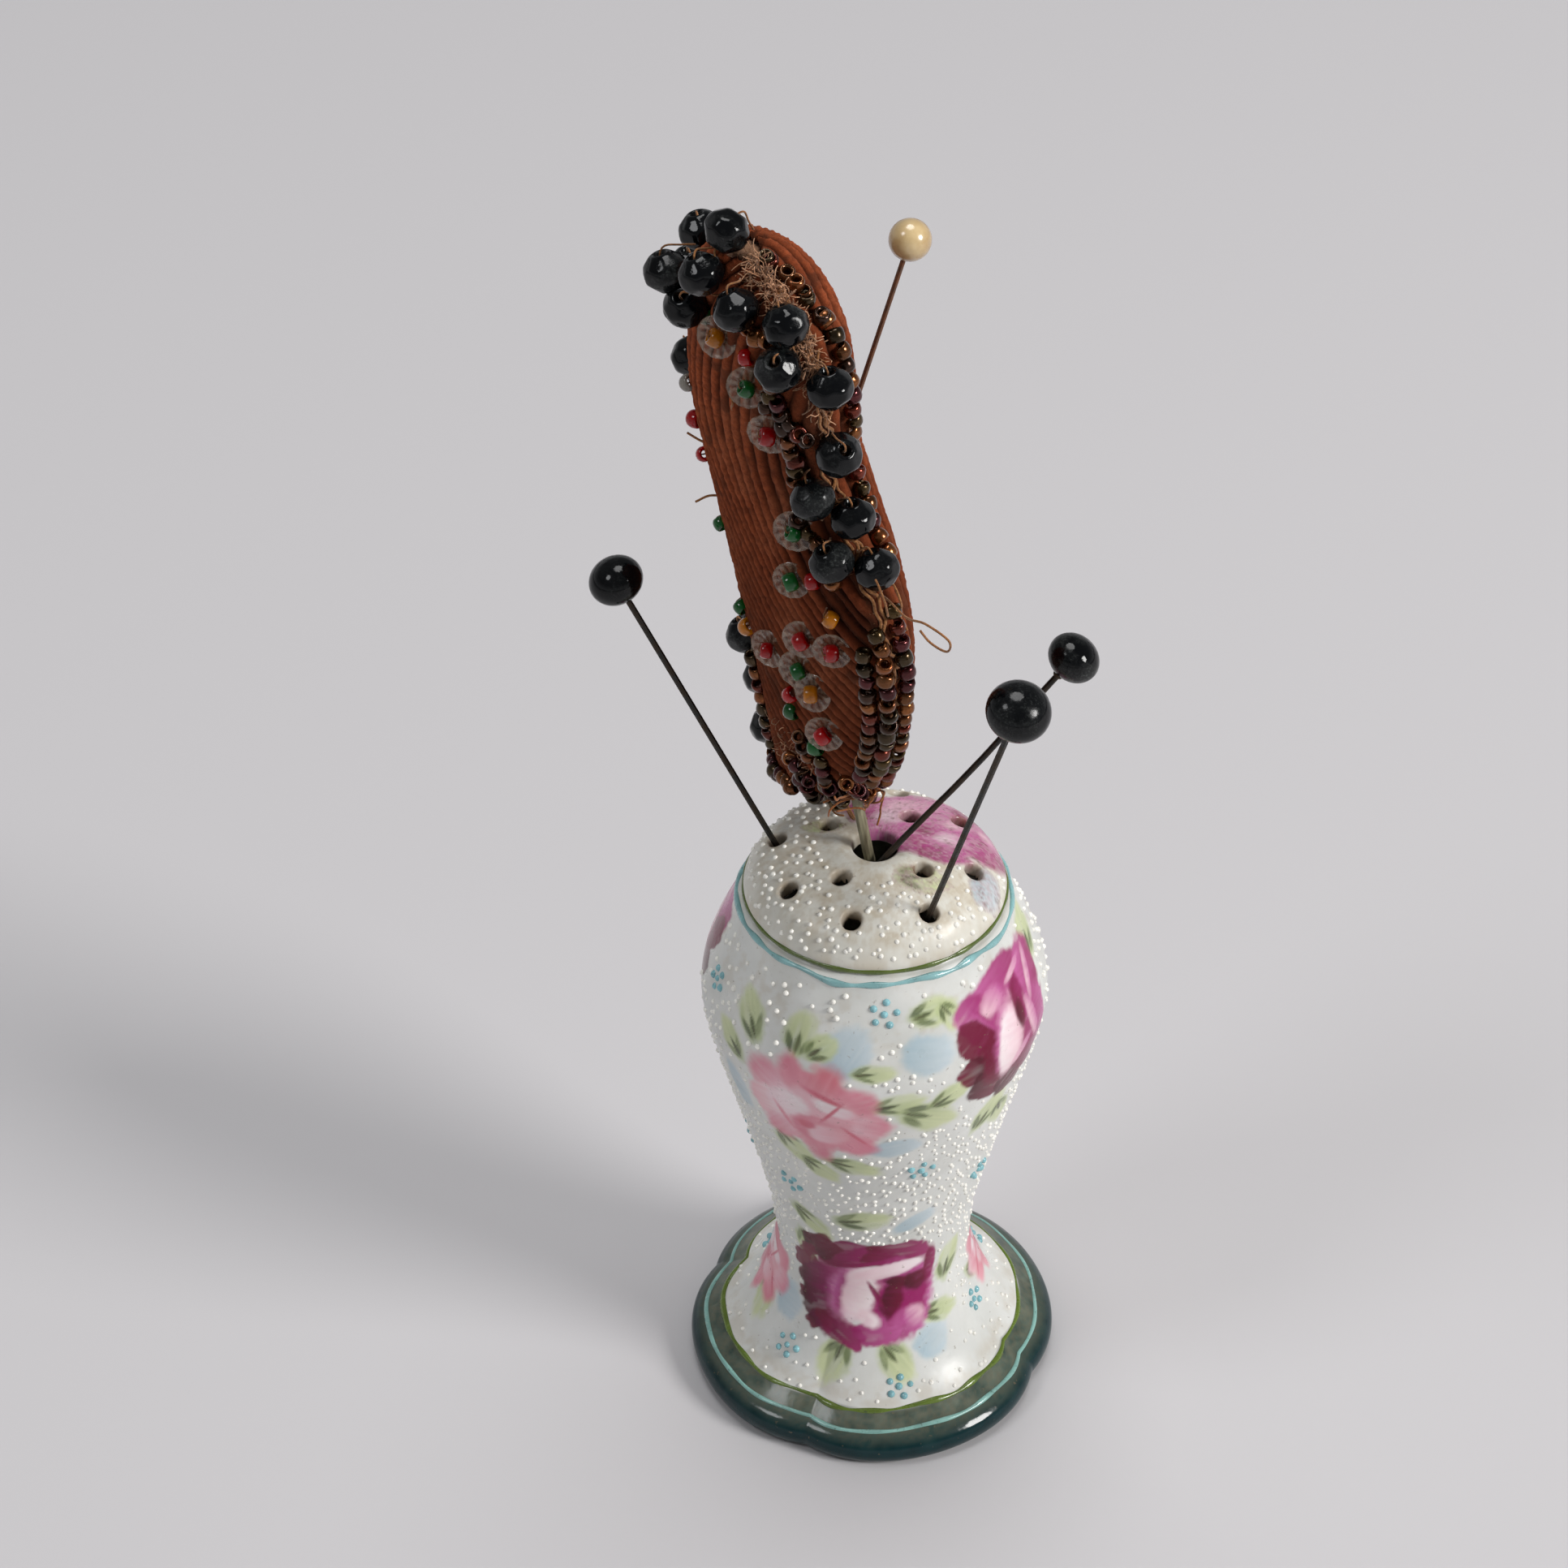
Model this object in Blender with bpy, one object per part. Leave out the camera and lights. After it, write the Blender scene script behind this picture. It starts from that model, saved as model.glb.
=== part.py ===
"""Porcelain hatpin holder with a corduroy pin cushion on a stick, hat pins and a pearl pin.

The holder stands on z = 0 with its axis on the origin. Lengths are in millimetres until a
mesh is made, and in metres after that.
"""

import math

import bmesh
import bpy
import numpy as np
from mathutils import Matrix, Vector

MM = 0.001
GAP = 0.35  # left between two pieces that touch

# Porcelain holder
HEIGHT = 121.0
FACETS = 48
LOBES = 4
LOBE_NOTCH_DEG = -24.0  # bearing of one of the notches between the foot's lobes
LOBE_DEPTH = 1.7
LOBE_FADE = (9.0, 24.0)  # heights between which the notches die out
# radius and height of each station on the outside, from the foot up to the centre hole
OUTSIDE = (
    (32.4, 0.0), (33.9, 0.9), (34.4, 2.4), (34.1, 4.0), (33.0, 5.2), (31.2, 6.2),
    (28.2, 8.2), (24.6, 11.4), (21.6, 15.6), (19.4, 21.5), (18.1, 28.0), (18.2, 34.0),
    (18.8, 40.0), (20.5, 48.0), (22.4, 56.0), (24.4, 64.0), (26.5, 72.0), (28.2, 78.5),
    (29.6, 84.5), (30.4, 90.0), (29.8, 95.0), (28.2, 100.0), (26.2, 104.6), (24.5, 108.4),
    (23.6, 110.5), (22.3, 111.3), (22.7, 112.4), (21.8, 114.6), (19.9, 117.0), (17.0, 118.7),
    (13.4, 119.9), (9.4, 120.6), (5.4, 121.0), (4.2, 120.7),
)
# the same on the inside, from the centre hole down to the floor
INSIDE = (
    (3.85, 119.8), (3.85, 118.8), (4.6, 118.2), (10.0, 117.6), (15.6, 115.9), (19.8, 112.4),
    (21.8, 108.0), (25.4, 99.4), (27.4, 91.6), (26.8, 84.0), (23.8, 71.6), (19.8, 55.6),
    (17.0, 43.4), (15.7, 34.0), (15.7, 28.0), (16.9, 21.8), (21.2, 13.0), (23.0, 9.0),
    (21.6, 6.4), (18.0, 5.6),
)
FLOOR = 5.6
PIN_HOLE_RADIUS = 1.65
OUTER_HOLES = {"count": 8, "ring": 17.3, "bearing": -15.0, "tilt": 20.0, "height": 118.4}
INNER_HOLES = {"count": 4, "ring": 10.0, "bearing": -37.5, "tilt": 4.0, "height": 120.2}

# Stick, leaning to the left in the centre hole
STICK_AT_HOLE = Vector((-1.45, -0.6, HEIGHT))
STICK_LEAN_DEG = 9.6
STICK_RADIUS = 0.95
STICK_FOOT_Z = 6.6
STICK_TOP = 50.0  # along the stick, above the centre hole

# Cushion: place along the stick above the centre hole, front edge, back edge
CUSHION_TURN_DEG = 30.0
STATIONS = (
    (4.0, -16.0, -23.5), (8.0, -8.0, -26.0), (13.0, 1.0, -26.5), (20.0, 7.5, -26.5),
    (30.0, 14.5, -26.0), (42.0, 20.5, -25.5), (54.0, 23.5, -25.0), (64.0, 22.5, -25.0),
    (76.0, 16.5, -25.0), (86.0, 14.0, -24.5), (97.0, 17.5, -21.5), (109.0, 18.0, -15.5),
    (117.0, 12.0, -9.5), (121.0, 6.0, -5.0),
)
BELLY_LEFT = 5.6
BELLY_RIGHT = (9.5, 14.5)  # at the bottom and at the top
BELLY_END = 2.6  # half thickness at the two open ends
BELLY_FULLNESS = 3.5
SECTION_POWER = 2.2
SECTION_ROUND = 0.62
CLOTH = 1.2
SECTIONS = 24
SECTION_STEPS = 12
SOCKET_RADIUS = STICK_RADIUS + GAP

# Black faceted glass beads: place along the stick, bearing round the cushion's section from
# its front edge towards the left face, and how far each hangs off the cloth
BEAD_RADIUS = 3.5
BEAD_HOLE = 0.8
BEAD_SIDES = 8
BLACK_BEADS = (
    (113.5, 12.0, 0.0), (109.0, 29.0, 0.0), (105.5, -1.0, 0.0), (93.5, -2.0, 0.0),
    (83.5, 14.0, 0.0), (78.0, -4.0, 0.0), (72.5, 17.0, 0.0), (69.5, -6.0, 0.0),
    (116.0, 50.0, 0.0), (119.0, 86.0, 0.0), (111.0, 114.0, 0.0), (115.0, 134.0, 5.6),
    (114.5, 184.0, 0.0), (106.0, 181.0, 0.0), (97.0, 179.0, 0.0), (86.5, 181.0, 0.0),
    (31.0, 176.0, 0.0), (20.5, 180.0, 0.0), (10.5, 177.0, 0.0),
)
CROWN_BEAD = (125.3, 2.0, 2.0)  # the bead on the top: along, across and out

# Bronze seed beads in rows beside the seam: first and last place along the stick, bearing
SEED_RADIUS = 1.35
SEED_PITCH = 2.55
THREAD_RADIUS = 0.5
SEED_SIDES = 6
SEED_ROWS = {
    "front_upper": (68.0, 113.0, -27.0),
    "front_right": (22.0, 64.0, -12.0),
    "front_left": (22.0, 62.0, 7.0),
    "front_left_outer": (24.0, 58.0, 24.0),
    "back_left": (7.0, 32.0, 150.0),
    "back_right": (12.0, 110.0, 205.0),
}

# Hat pins: where the shaft crosses the dome, the middle of the head, the point's height,
# its width, and how far the shaft sags from straight
HAT_PINS = {
    "left": {"at": (-17.5, 4.5, 118.5), "head": (-42.5, 4.5, 174.2), "end": 48.5,
             "width": 9.2, "sag": 0.0},
    "front": {"at": (8.8, -15.0, 118.4), "head": (20.6, -38.4, 179.8), "end": 43.5,
              "width": 10.3, "sag": 0.0},
    "centre": {"at": (2.3, -2.3, HEIGHT), "head": (32.6, 2.6, 158.6), "end": 89.5,
               "width": 9.1, "sag": 0.9},
}
PIN_RADIUS = 0.55
PIN_POINT = 9.0
PIN_STEPS = 12
HEAD_FLATTEN = 0.84
HEAD_SIDES = 16
PEARL_RADIUS = 3.4
PEARL_PIN_RADIUS = 0.42
PEARL_ENTRY = (74.0, -95.0)  # on the cushion's right face: along the stick, bearing
PEARL_HEAD = (5.0, 11.5, 233.5)
PEARL_DEPTH = 9.0

COLOURS = {
    "porcelain": ((0.78, 0.78, 0.75), 0.12, 0.0),
    "wood": ((0.24, 0.22, 0.15), 0.6, 0.0),
    "stuffing": ((0.5, 0.36, 0.22), 0.95, 0.0),
    "corduroy": ((0.33, 0.11, 0.05), 0.9, 0.0),
    "jet_glass": ((0.012, 0.013, 0.016), 0.2, 0.0),
    "bronze_glass": ((0.16, 0.07, 0.03), 0.25, 0.6),
    "steel": ((0.06, 0.055, 0.045), 0.4, 0.8),
    "rust": ((0.12, 0.06, 0.03), 0.6, 0.5),
    "pearl": ((0.78, 0.66, 0.44), 0.2, 0.0),
}


def clear_scene():
    for obj in list(bpy.data.objects):
        bpy.data.objects.remove(obj, do_unlink=True)


def make_material(name):
    colour, roughness, metallic = COLOURS[name.split(".")[0]]
    material = bpy.data.materials.new(name)
    material.use_nodes = True
    shader = material.node_tree.nodes["Principled BSDF"]
    shader.inputs["Base Color"].default_value = (*colour, 1.0)
    shader.inputs["Roughness"].default_value = roughness
    shader.inputs["Metallic"].default_value = metallic
    material.diffuse_color = (*colour, 1.0)
    return material


def add_object(name, points, faces, material, origin=(0.0, 0.0, 0.0), parent=None):
    """An object from world points in millimetres, its origin at a point of its joint axis."""
    origin = Vector(origin) * MM
    mesh = bpy.data.meshes.new(name)
    placed = np.asarray(points, float) * MM - np.array(origin)
    mesh.from_pydata(placed.tolist(), [], faces)
    mesh.validate()
    mesh.shade_smooth()
    mesh.set_sharp_from_angle(angle=math.radians(38.0))
    mesh.materials.append(make_material(f"{material}.{name}"))
    obj = bpy.data.objects.new(name, mesh)
    obj.location = origin
    bpy.context.scene.collection.objects.link(obj)
    if parent is not None:
        obj.parent = parent
        obj.location = origin - parent.matrix_world.translation
    bpy.context.view_layer.update()
    return obj


def unit(vector):
    vector = np.asarray(vector, float)
    return vector / np.linalg.norm(vector)


def square_to(axis):
    """Two unit vectors at right angles to the axis and to each other."""
    axis = unit(axis)
    helper = np.array([0.0, 0.0, 1.0]) if abs(axis[2]) < 0.9 else np.array([0.0, 1.0, 0.0])
    first = unit(np.cross(helper, axis))
    return first, np.cross(axis, first)


def ring_faces(rings, sides):
    """Quads that join each ring of points to the next, numbered ring by ring."""
    faces = []
    for ring in range(rings - 1):
        for side in range(sides):
            after = (side + 1) % sides
            low, high = ring * sides, (ring + 1) * sides
            faces.append((low + side, low + after, high + after, high + side))
    return faces


def tube(path, radii, sides):
    """Points and faces of a solid that follows a path, closed to a point at both ends."""
    path = np.asarray(path, float)
    ahead = np.gradient(path, axis=0)
    across, _ = square_to(ahead[0])
    points = [path[0]]
    for centre, heading, radius in zip(path, ahead, radii):
        heading = unit(heading)
        across = unit(across - heading * (across @ heading))
        over = np.cross(heading, across)
        for side in range(sides):
            angle = 2 * math.pi * side / sides
            points.append(centre + radius * (math.cos(angle) * across + math.sin(angle) * over))
    points.append(path[-1])
    faces = [tuple(1 + i for i in face) for face in ring_faces(len(path), sides)]
    last = len(points) - 1
    for side in range(sides):
        after = (side + 1) % sides
        faces.append((0, 1 + after, 1 + side))
        faces.append((last, last - sides + side, last - sides + after))
    return points, faces


def straight_tube(stations, start, heading, sides):
    """A tube along a line, from (distance, radius) stations."""
    heading = unit(heading)
    path = [np.asarray(start, float) + heading * distance for distance, _ in stations]
    return tube(path, [radius for _, radius in stations], sides)


def lobe(bearing):
    """1 in the notch between two lobes of the foot, falling quickly to 0 beside it."""
    turn = math.sin(0.5 * LOBES * (bearing - math.radians(LOBE_NOTCH_DEG)))
    return (1.0 - abs(turn)) ** 2.2


def holder_ring(radius, height, notched):
    low, high = LOBE_FADE
    fade = min(1.0, max(0.0, (high - height) / (high - low))) if notched else 0.0
    points = []
    for facet in range(FACETS):
        bearing = 2 * math.pi * facet / FACETS
        reach = radius - LOBE_DEPTH * fade * lobe(bearing)
        points.append((reach * math.cos(bearing), reach * math.sin(bearing), height))
    return points


def pin_hole_cutters():
    """One mesh of round bars, each standing through the dome where a pin hole goes."""
    cutters = bmesh.new()
    for holes in (OUTER_HOLES, INNER_HOLES):
        for index in range(holes["count"]):
            bearing = math.radians(holes["bearing"] + 360.0 * index / holes["count"])
            tilt = math.radians(holes["tilt"])
            away = Vector((math.cos(bearing), math.sin(bearing), 0.0))
            heading = away * math.sin(tilt) + Vector((0, 0, math.cos(tilt)))
            centre = away * holes["ring"] + Vector((0, 0, holes["height"] - 1.0))
            turn = heading.to_track_quat("Z", "Y").to_matrix().to_4x4()
            place = Matrix.Translation(centre * MM) @ turn
            bmesh.ops.create_cone(
                cutters, cap_ends=True, segments=14, radius1=PIN_HOLE_RADIUS * MM,
                radius2=PIN_HOLE_RADIUS * MM, depth=12.0 * MM, matrix=place,
            )
    mesh = bpy.data.meshes.new("pin_hole_cutters")
    cutters.to_mesh(mesh)
    cutters.free()
    obj = bpy.data.objects.new("pin_hole_cutters", mesh)
    obj.hide_render = True
    obj.display_type = "WIRE"
    bpy.context.scene.collection.objects.link(obj)
    return obj


def cut(target, cutter):
    modifier = target.modifiers.new("cut", "BOOLEAN")
    modifier.operation = "DIFFERENCE"
    modifier.solver = "EXACT"
    modifier.object = cutter


def build_holder():
    """The hollow porcelain body, turned from its stations, with its foot lobed."""
    rings = [holder_ring(radius, height, True) for radius, height in OUTSIDE]
    rings += [holder_ring(radius, height, False) for radius, height in INSIDE]
    points = [point for ring in rings for point in ring]
    faces = ring_faces(len(rings), FACETS)
    under, floor = len(points), len(points) + 1
    points += [(0.0, 0.0, 0.0), (0.0, 0.0, FLOOR)]
    last = under - FACETS
    for facet in range(FACETS):
        after = (facet + 1) % FACETS
        faces.append((under, after, facet))
        faces.append((floor, last + facet, last + after))
    holder = add_object("holder_body", points, faces, "porcelain")
    cut(holder, pin_hole_cutters())
    return holder


def cushion_axes():
    """Unit vectors along the stick, from back edge to front edge, and out of the left face."""
    lean = math.radians(STICK_LEAN_DEG)
    turn = math.radians(CUSHION_TURN_DEG)
    along = np.array([-math.sin(lean), 0.0, math.cos(lean)])
    front = np.array([math.sin(turn), -math.cos(turn), 0.0])
    front = unit(front - along * (front @ along))
    return along, front, np.cross(front, along)


def station(place):
    """Front and back edge of the cushion at a place along the stick."""
    places = [row[0] for row in STATIONS]
    index = min(max(sum(p <= place for p in places) - 1, 0), len(places) - 2)
    low, high = STATIONS[index], STATIONS[index + 1]
    part = (place - low[0]) / (high[0] - low[0])
    before = STATIONS[max(index - 1, 0)]
    after = STATIONS[min(index + 2, len(STATIONS) - 1)]
    found = []
    for edge in (1, 2):
        start = 0.5 * (high[edge] - before[edge])
        end = 0.5 * (after[edge] - low[edge])
        rise = high[edge] - low[edge]
        bend = (start + end - 2 * rise) * part + (3 * rise - 2 * start - end)
        found.append(low[edge] + part * (start + part * bend))
    return found


def skin(place, bearing, shrink=0.0):
    """A point of the cushion's surface, in degrees round its section from the front edge."""
    front_edge, back_edge = station(place)
    middle = 0.5 * (front_edge + back_edge)
    half = 0.5 * (front_edge - back_edge) - shrink
    first, last = STATIONS[0][0], STATIONS[-1][0]
    up_part = min(1.0, max(0.0, (place - first) / (last - first)))
    full = math.sqrt(max(0.0, 1 - abs(2 * up_part - 1) ** BELLY_FULLNESS))
    angle = math.radians(bearing)
    low, high = BELLY_RIGHT
    belly = BELLY_LEFT if math.sin(angle) >= 0 else low + (high - low) * up_part
    thick = BELLY_END + (belly - BELLY_END) * full - shrink
    across = math.cos(angle)
    rise = max(0.0, 1 - abs(across) ** SECTION_POWER) ** SECTION_ROUND
    side = 1.0 if math.sin(angle) >= 0 else -1.0
    return cushion_point(place, middle + half * across, side * thick * rise)


def cushion_point(place, width, depth):
    along, front, left = cushion_axes()
    return np.array(STICK_AT_HOLE) + place * along + width * front + depth * left


def above_skin(place, bearing, lift):
    """A point that stands clear of the cushion's surface, and the way out of it."""
    place = min(max(place, STATIONS[0][0] + 0.6), STATIONS[-1][0] - 0.6)
    here = skin(place, bearing)
    up = skin(place + 0.5, bearing) - skin(place - 0.5, bearing)
    round_ = skin(place, bearing + 4.0) - skin(place, bearing - 4.0)
    out = unit(np.cross(up, round_))
    return here + out * lift, out


def build_panel(name, side, parent):
    """One face of the cushion's cover: a thin domed shell, open at its top and bottom."""
    first, last = STATIONS[0][0], STATIONS[-1][0]
    offset = cushion_axes()[2] * side * 0.5 * GAP
    outer, inner = [], []
    for row in range(SECTIONS):
        place = first + (last - first) * row / (SECTIONS - 1)
        for step in range(SECTION_STEPS + 1):
            bearing = side * 180.0 * step / SECTION_STEPS
            bearing = min(179.99, max(0.01, abs(bearing))) * side
            outer.append(skin(place, bearing) + offset)
            inner.append(skin(place, bearing, CLOTH) + offset)
    columns = SECTION_STEPS + 1
    points = outer + inner
    shift = len(outer)
    faces = []
    for row in range(SECTIONS - 1):
        for step in range(SECTION_STEPS):
            a = row * columns + step
            b, c, d = a + 1, a + 1 + columns, a + columns
            faces.append((a, b, c, d))
            faces.append((shift + a, shift + d, shift + c, shift + b))
        for step in (0, SECTION_STEPS):
            a = row * columns + step
            d = a + columns
            rim = (a, d, shift + d, shift + a)
            faces.append(rim if step == 0 else rim[::-1])
    for row in (0, SECTIONS - 1):
        for step in range(SECTION_STEPS):
            a = row * columns + step
            rim = (a, shift + a, shift + a + 1, a + 1)
            faces.append(rim if row == 0 else rim[::-1])
    if side > 0:
        faces = [face[::-1] for face in faces]
    return add_object(name, points, faces, "corduroy", STICK_AT_HOLE, parent)


def build_core(parent):
    """The stuffing inside the cover, with the socket that the stick is pushed into."""
    first, last = STATIONS[0][0], STATIONS[-1][0]
    sides = 2 * SECTION_STEPS
    rows = SECTIONS - 2
    points = []
    for row in range(rows):
        place = first + (last - first) * (row + 1) / (SECTIONS - 1)
        for side in range(sides):
            points.append(skin(place, 360.0 * side / sides, CLOTH + 1.5 * GAP))
    faces = ring_faces(rows, sides)
    faces = [face[::-1] for face in faces]
    faces.append(tuple(range(sides)))
    top = (rows - 1) * sides
    faces.append(tuple(range(top + sides - 1, top - 1, -1)))
    core = add_object("cushion_stuffing", points, faces, "stuffing", STICK_AT_HOLE, parent)
    return core


def bar_cutter(name, start, heading, length, radius):
    """A hidden round bar that makes a hole."""
    stations = ((0.0, radius), (length, radius))
    points, faces = straight_tube(stations, start, heading, 10)
    cutter = add_object(name, points, faces, "wood")
    cutter.hide_render = True
    cutter.display_type = "WIRE"
    return cutter


def build_stick():
    along = cushion_axes()[0]
    down = (HEIGHT - STICK_FOOT_Z) / along[2]
    stations = (
        (-down, 0.8 * STICK_RADIUS), (-down + 0.3, STICK_RADIUS), (0.0, STICK_RADIUS),
        (STICK_TOP - 3.0, STICK_RADIUS), (STICK_TOP, 0.45 * STICK_RADIUS),
    )
    points, faces = straight_tube(stations, STICK_AT_HOLE, along, 10)
    return add_object("stick", points, faces, "wood", STICK_AT_HOLE)


def bead_mesh(centre, axis, radius):
    """A faceted round bead with a hole along the axis."""
    first, second = square_to(axis)
    axis = unit(axis)
    half = math.sqrt(radius ** 2 - (BEAD_HOLE * 1.9) ** 2) * 0.93
    profile = (
        (BEAD_HOLE, -half * 0.9), (BEAD_HOLE * 1.9, -half), (radius * 0.86, -half * 0.56),
        (radius, 0.0), (radius * 0.86, half * 0.56), (BEAD_HOLE * 1.9, half),
        (BEAD_HOLE, half * 0.9),
    )
    points = []
    for row, (reach, rise) in enumerate(profile):
        for side in range(BEAD_SIDES):
            angle = 2 * math.pi * (side + 0.5 * (row % 2)) / BEAD_SIDES
            flat = math.cos(angle) * first + math.sin(angle) * second
            points.append(np.asarray(centre) + reach * flat + rise * axis)
    faces = ring_faces(len(profile), BEAD_SIDES)
    top = (len(profile) - 1) * BEAD_SIDES
    for side in range(BEAD_SIDES):
        after = (side + 1) % BEAD_SIDES
        faces.append((top + side, top + after, after, side))
    return points, faces


def build_beads(parent):
    strung = []
    for number, (place, bearing, hang) in enumerate(BLACK_BEADS):
        lift = BEAD_RADIUS + GAP + hang
        centre, out = above_skin(place, bearing, lift)
        ahead, _ = above_skin(place - 1.0, bearing, lift)
        strung.append((centre, unit(centre - ahead + 0.35 * out * (-1) ** number)))
    strung.append((cushion_point(*CROWN_BEAD), cushion_axes()[1]))
    for number, (centre, thread) in enumerate(strung, start=1):
        points, faces = bead_mesh(centre, thread, BEAD_RADIUS)
        name = f"black_bead_{number:02d}"
        add_object(name, points, faces, "jet_glass", STICK_AT_HOLE, parent)


def seed_row(first, last, bearing):
    """A strung row of small round beads, as one solid that swells at every bead."""
    fine = np.linspace(first, last, 400)
    lift = SEED_RADIUS + GAP
    line = np.array([above_skin(place, bearing, lift)[0] for place in fine])
    run = np.concatenate([[0.0], np.cumsum(np.linalg.norm(np.diff(line, axis=0), axis=1))])
    count = int(run[-1] / SEED_PITCH)
    distances, radii = [0.0], [THREAD_RADIUS]
    for bead in range(count):
        middle = (bead + 0.5) * SEED_PITCH
        for offset, radius in ((-0.4, 0.6), (0.0, 1.0), (0.4, 0.6)):
            distances.append(middle + offset * SEED_PITCH)
            radii.append(radius * SEED_RADIUS)
    distances.append(count * SEED_PITCH)
    radii.append(THREAD_RADIUS)
    path = [[np.interp(d, run, line[:, k]) for k in range(3)] for d in distances]
    return tube(path, radii, SEED_SIDES)


def build_seed_rows(parent):
    for name, (first, last, bearing) in SEED_ROWS.items():
        points, faces = seed_row(first, last, bearing)
        add_object(f"seed_row_{name}", points, faces, "bronze_glass", STICK_AT_HOLE, parent)


def head_mesh(centre, axis, radius, height, mount):
    """A flattened round head, with a blind socket below for the shaft's end."""
    axis = unit(axis)
    first, second = square_to(axis)
    rows = 9
    socket = mount + 0.3
    floor_angle = math.asin(socket / radius)
    profile = [(socket, -height * 0.3)]
    for row in range(rows):
        angle = floor_angle + (math.pi - floor_angle) * row / rows
        profile.append((radius * math.sin(angle), -height * math.cos(angle)))
    points = [np.asarray(centre) - axis * height * 0.3]
    for reach, rise in profile:
        for side in range(HEAD_SIDES):
            turn = 2 * math.pi * side / HEAD_SIDES
            flat = math.cos(turn) * first + math.sin(turn) * second
            points.append(np.asarray(centre) + reach * flat + rise * axis)
    points.append(np.asarray(centre) + axis * height)
    faces = [tuple(1 + i for i in face) for face in ring_faces(len(profile), HEAD_SIDES)]
    last = len(points) - 1
    for side in range(HEAD_SIDES):
        after = (side + 1) % HEAD_SIDES
        faces.append((0, 1 + after, 1 + side))
        faces.append((last, last - HEAD_SIDES + side, last - HEAD_SIDES + after))
    return points, faces


def build_hat_pin(name, pin):
    at, head = np.array(pin["at"]), np.array(pin["head"])
    up = unit(head - at)
    radius = 0.5 * pin["width"]
    height = radius * HEAD_FLATTEN
    shaft_top = np.linalg.norm(head - at) - height * 0.3 - 0.3
    shaft_end = (pin["end"] - at[2]) / up[2]
    path, radii = [], []
    for step in range(PIN_STEPS + 1):
        run = step / PIN_STEPS
        distance = shaft_end + run * (shaft_top - shaft_end)
        drop = pin["sag"] * math.sin(math.pi * max(0.0, distance / shaft_top)) ** 2
        path.append(at + up * distance - np.array([0.0, 0.0, drop]))
        taper = min(1.0, (distance - shaft_end) / PIN_POINT + 0.12)
        radii.append(PIN_RADIUS * taper)
    points, faces = tube(path, radii, 8)
    shaft = add_object(f"hat_pin_{name}_shaft", points, faces, "steel", at)
    points, faces = head_mesh(head, up, radius, height, PIN_RADIUS)
    add_object(f"hat_pin_{name}_head", points, faces, "jet_glass", at, shaft)


def build_pearl_pin(parent):
    entry = skin(*PEARL_ENTRY)
    head = np.array(PEARL_HEAD)
    up = unit(head - entry)
    shaft_top = np.linalg.norm(head - entry) - PEARL_RADIUS * 0.3 - 0.3
    stations = (
        (-PEARL_DEPTH, 0.08), (-PEARL_DEPTH + 4.0, PEARL_PIN_RADIUS),
        (shaft_top, PEARL_PIN_RADIUS),
    )
    points, faces = straight_tube(stations, entry, up, 8)
    shaft = add_object("pearl_pin_shaft", points, faces, "rust", entry, parent)
    points, faces = head_mesh(head, up, PEARL_RADIUS, PEARL_RADIUS, PEARL_PIN_RADIUS)
    add_object("pearl_pin_head", points, faces, "pearl", entry, shaft)


def pierce_cushion(core, left, right):
    """The stick's socket through the bottom seam, and the pearl pin's hole."""
    along = cushion_axes()[0]
    start = np.array(STICK_AT_HOLE) - along * 6.0
    socket = bar_cutter("socket_cutter", start, along, STICK_TOP + 6.0 + GAP, SOCKET_RADIUS)
    entry = skin(*PEARL_ENTRY)
    inward = unit(entry - np.array(PEARL_HEAD))
    start = entry - inward * 5.0
    radius = PEARL_PIN_RADIUS + GAP
    pin_hole = bar_cutter("pin_cutter", start, inward, PEARL_DEPTH + 5.0 + GAP, radius)
    for piece in (core, left, right):
        cut(piece, socket)
    for piece in (core, right):
        cut(piece, pin_hole)


def main():
    clear_scene()
    build_holder()
    stick = build_stick()
    core = build_core(stick)
    left = build_panel("cushion_left_panel", 1, stick)
    right = build_panel("cushion_right_panel", -1, stick)
    pierce_cushion(core, left, right)
    build_beads(stick)
    build_seed_rows(stick)
    for name, pin in HAT_PINS.items():
        build_hat_pin(name, pin)
    build_pearl_pin(stick)


main()
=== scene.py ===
"""Looks for the porcelain hatpin holder with its beaded corduroy pin cushion.

Lengths are in millimetres until a mesh is made. Bearings are in degrees round the holder's
axis, with -90 facing the front. The cushion's surface is described by a place along the stick
and a bearing round its section, from the front seam over the left face.
"""

import math

import bpy
import numpy as np
from mathutils import Matrix, Vector


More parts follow.
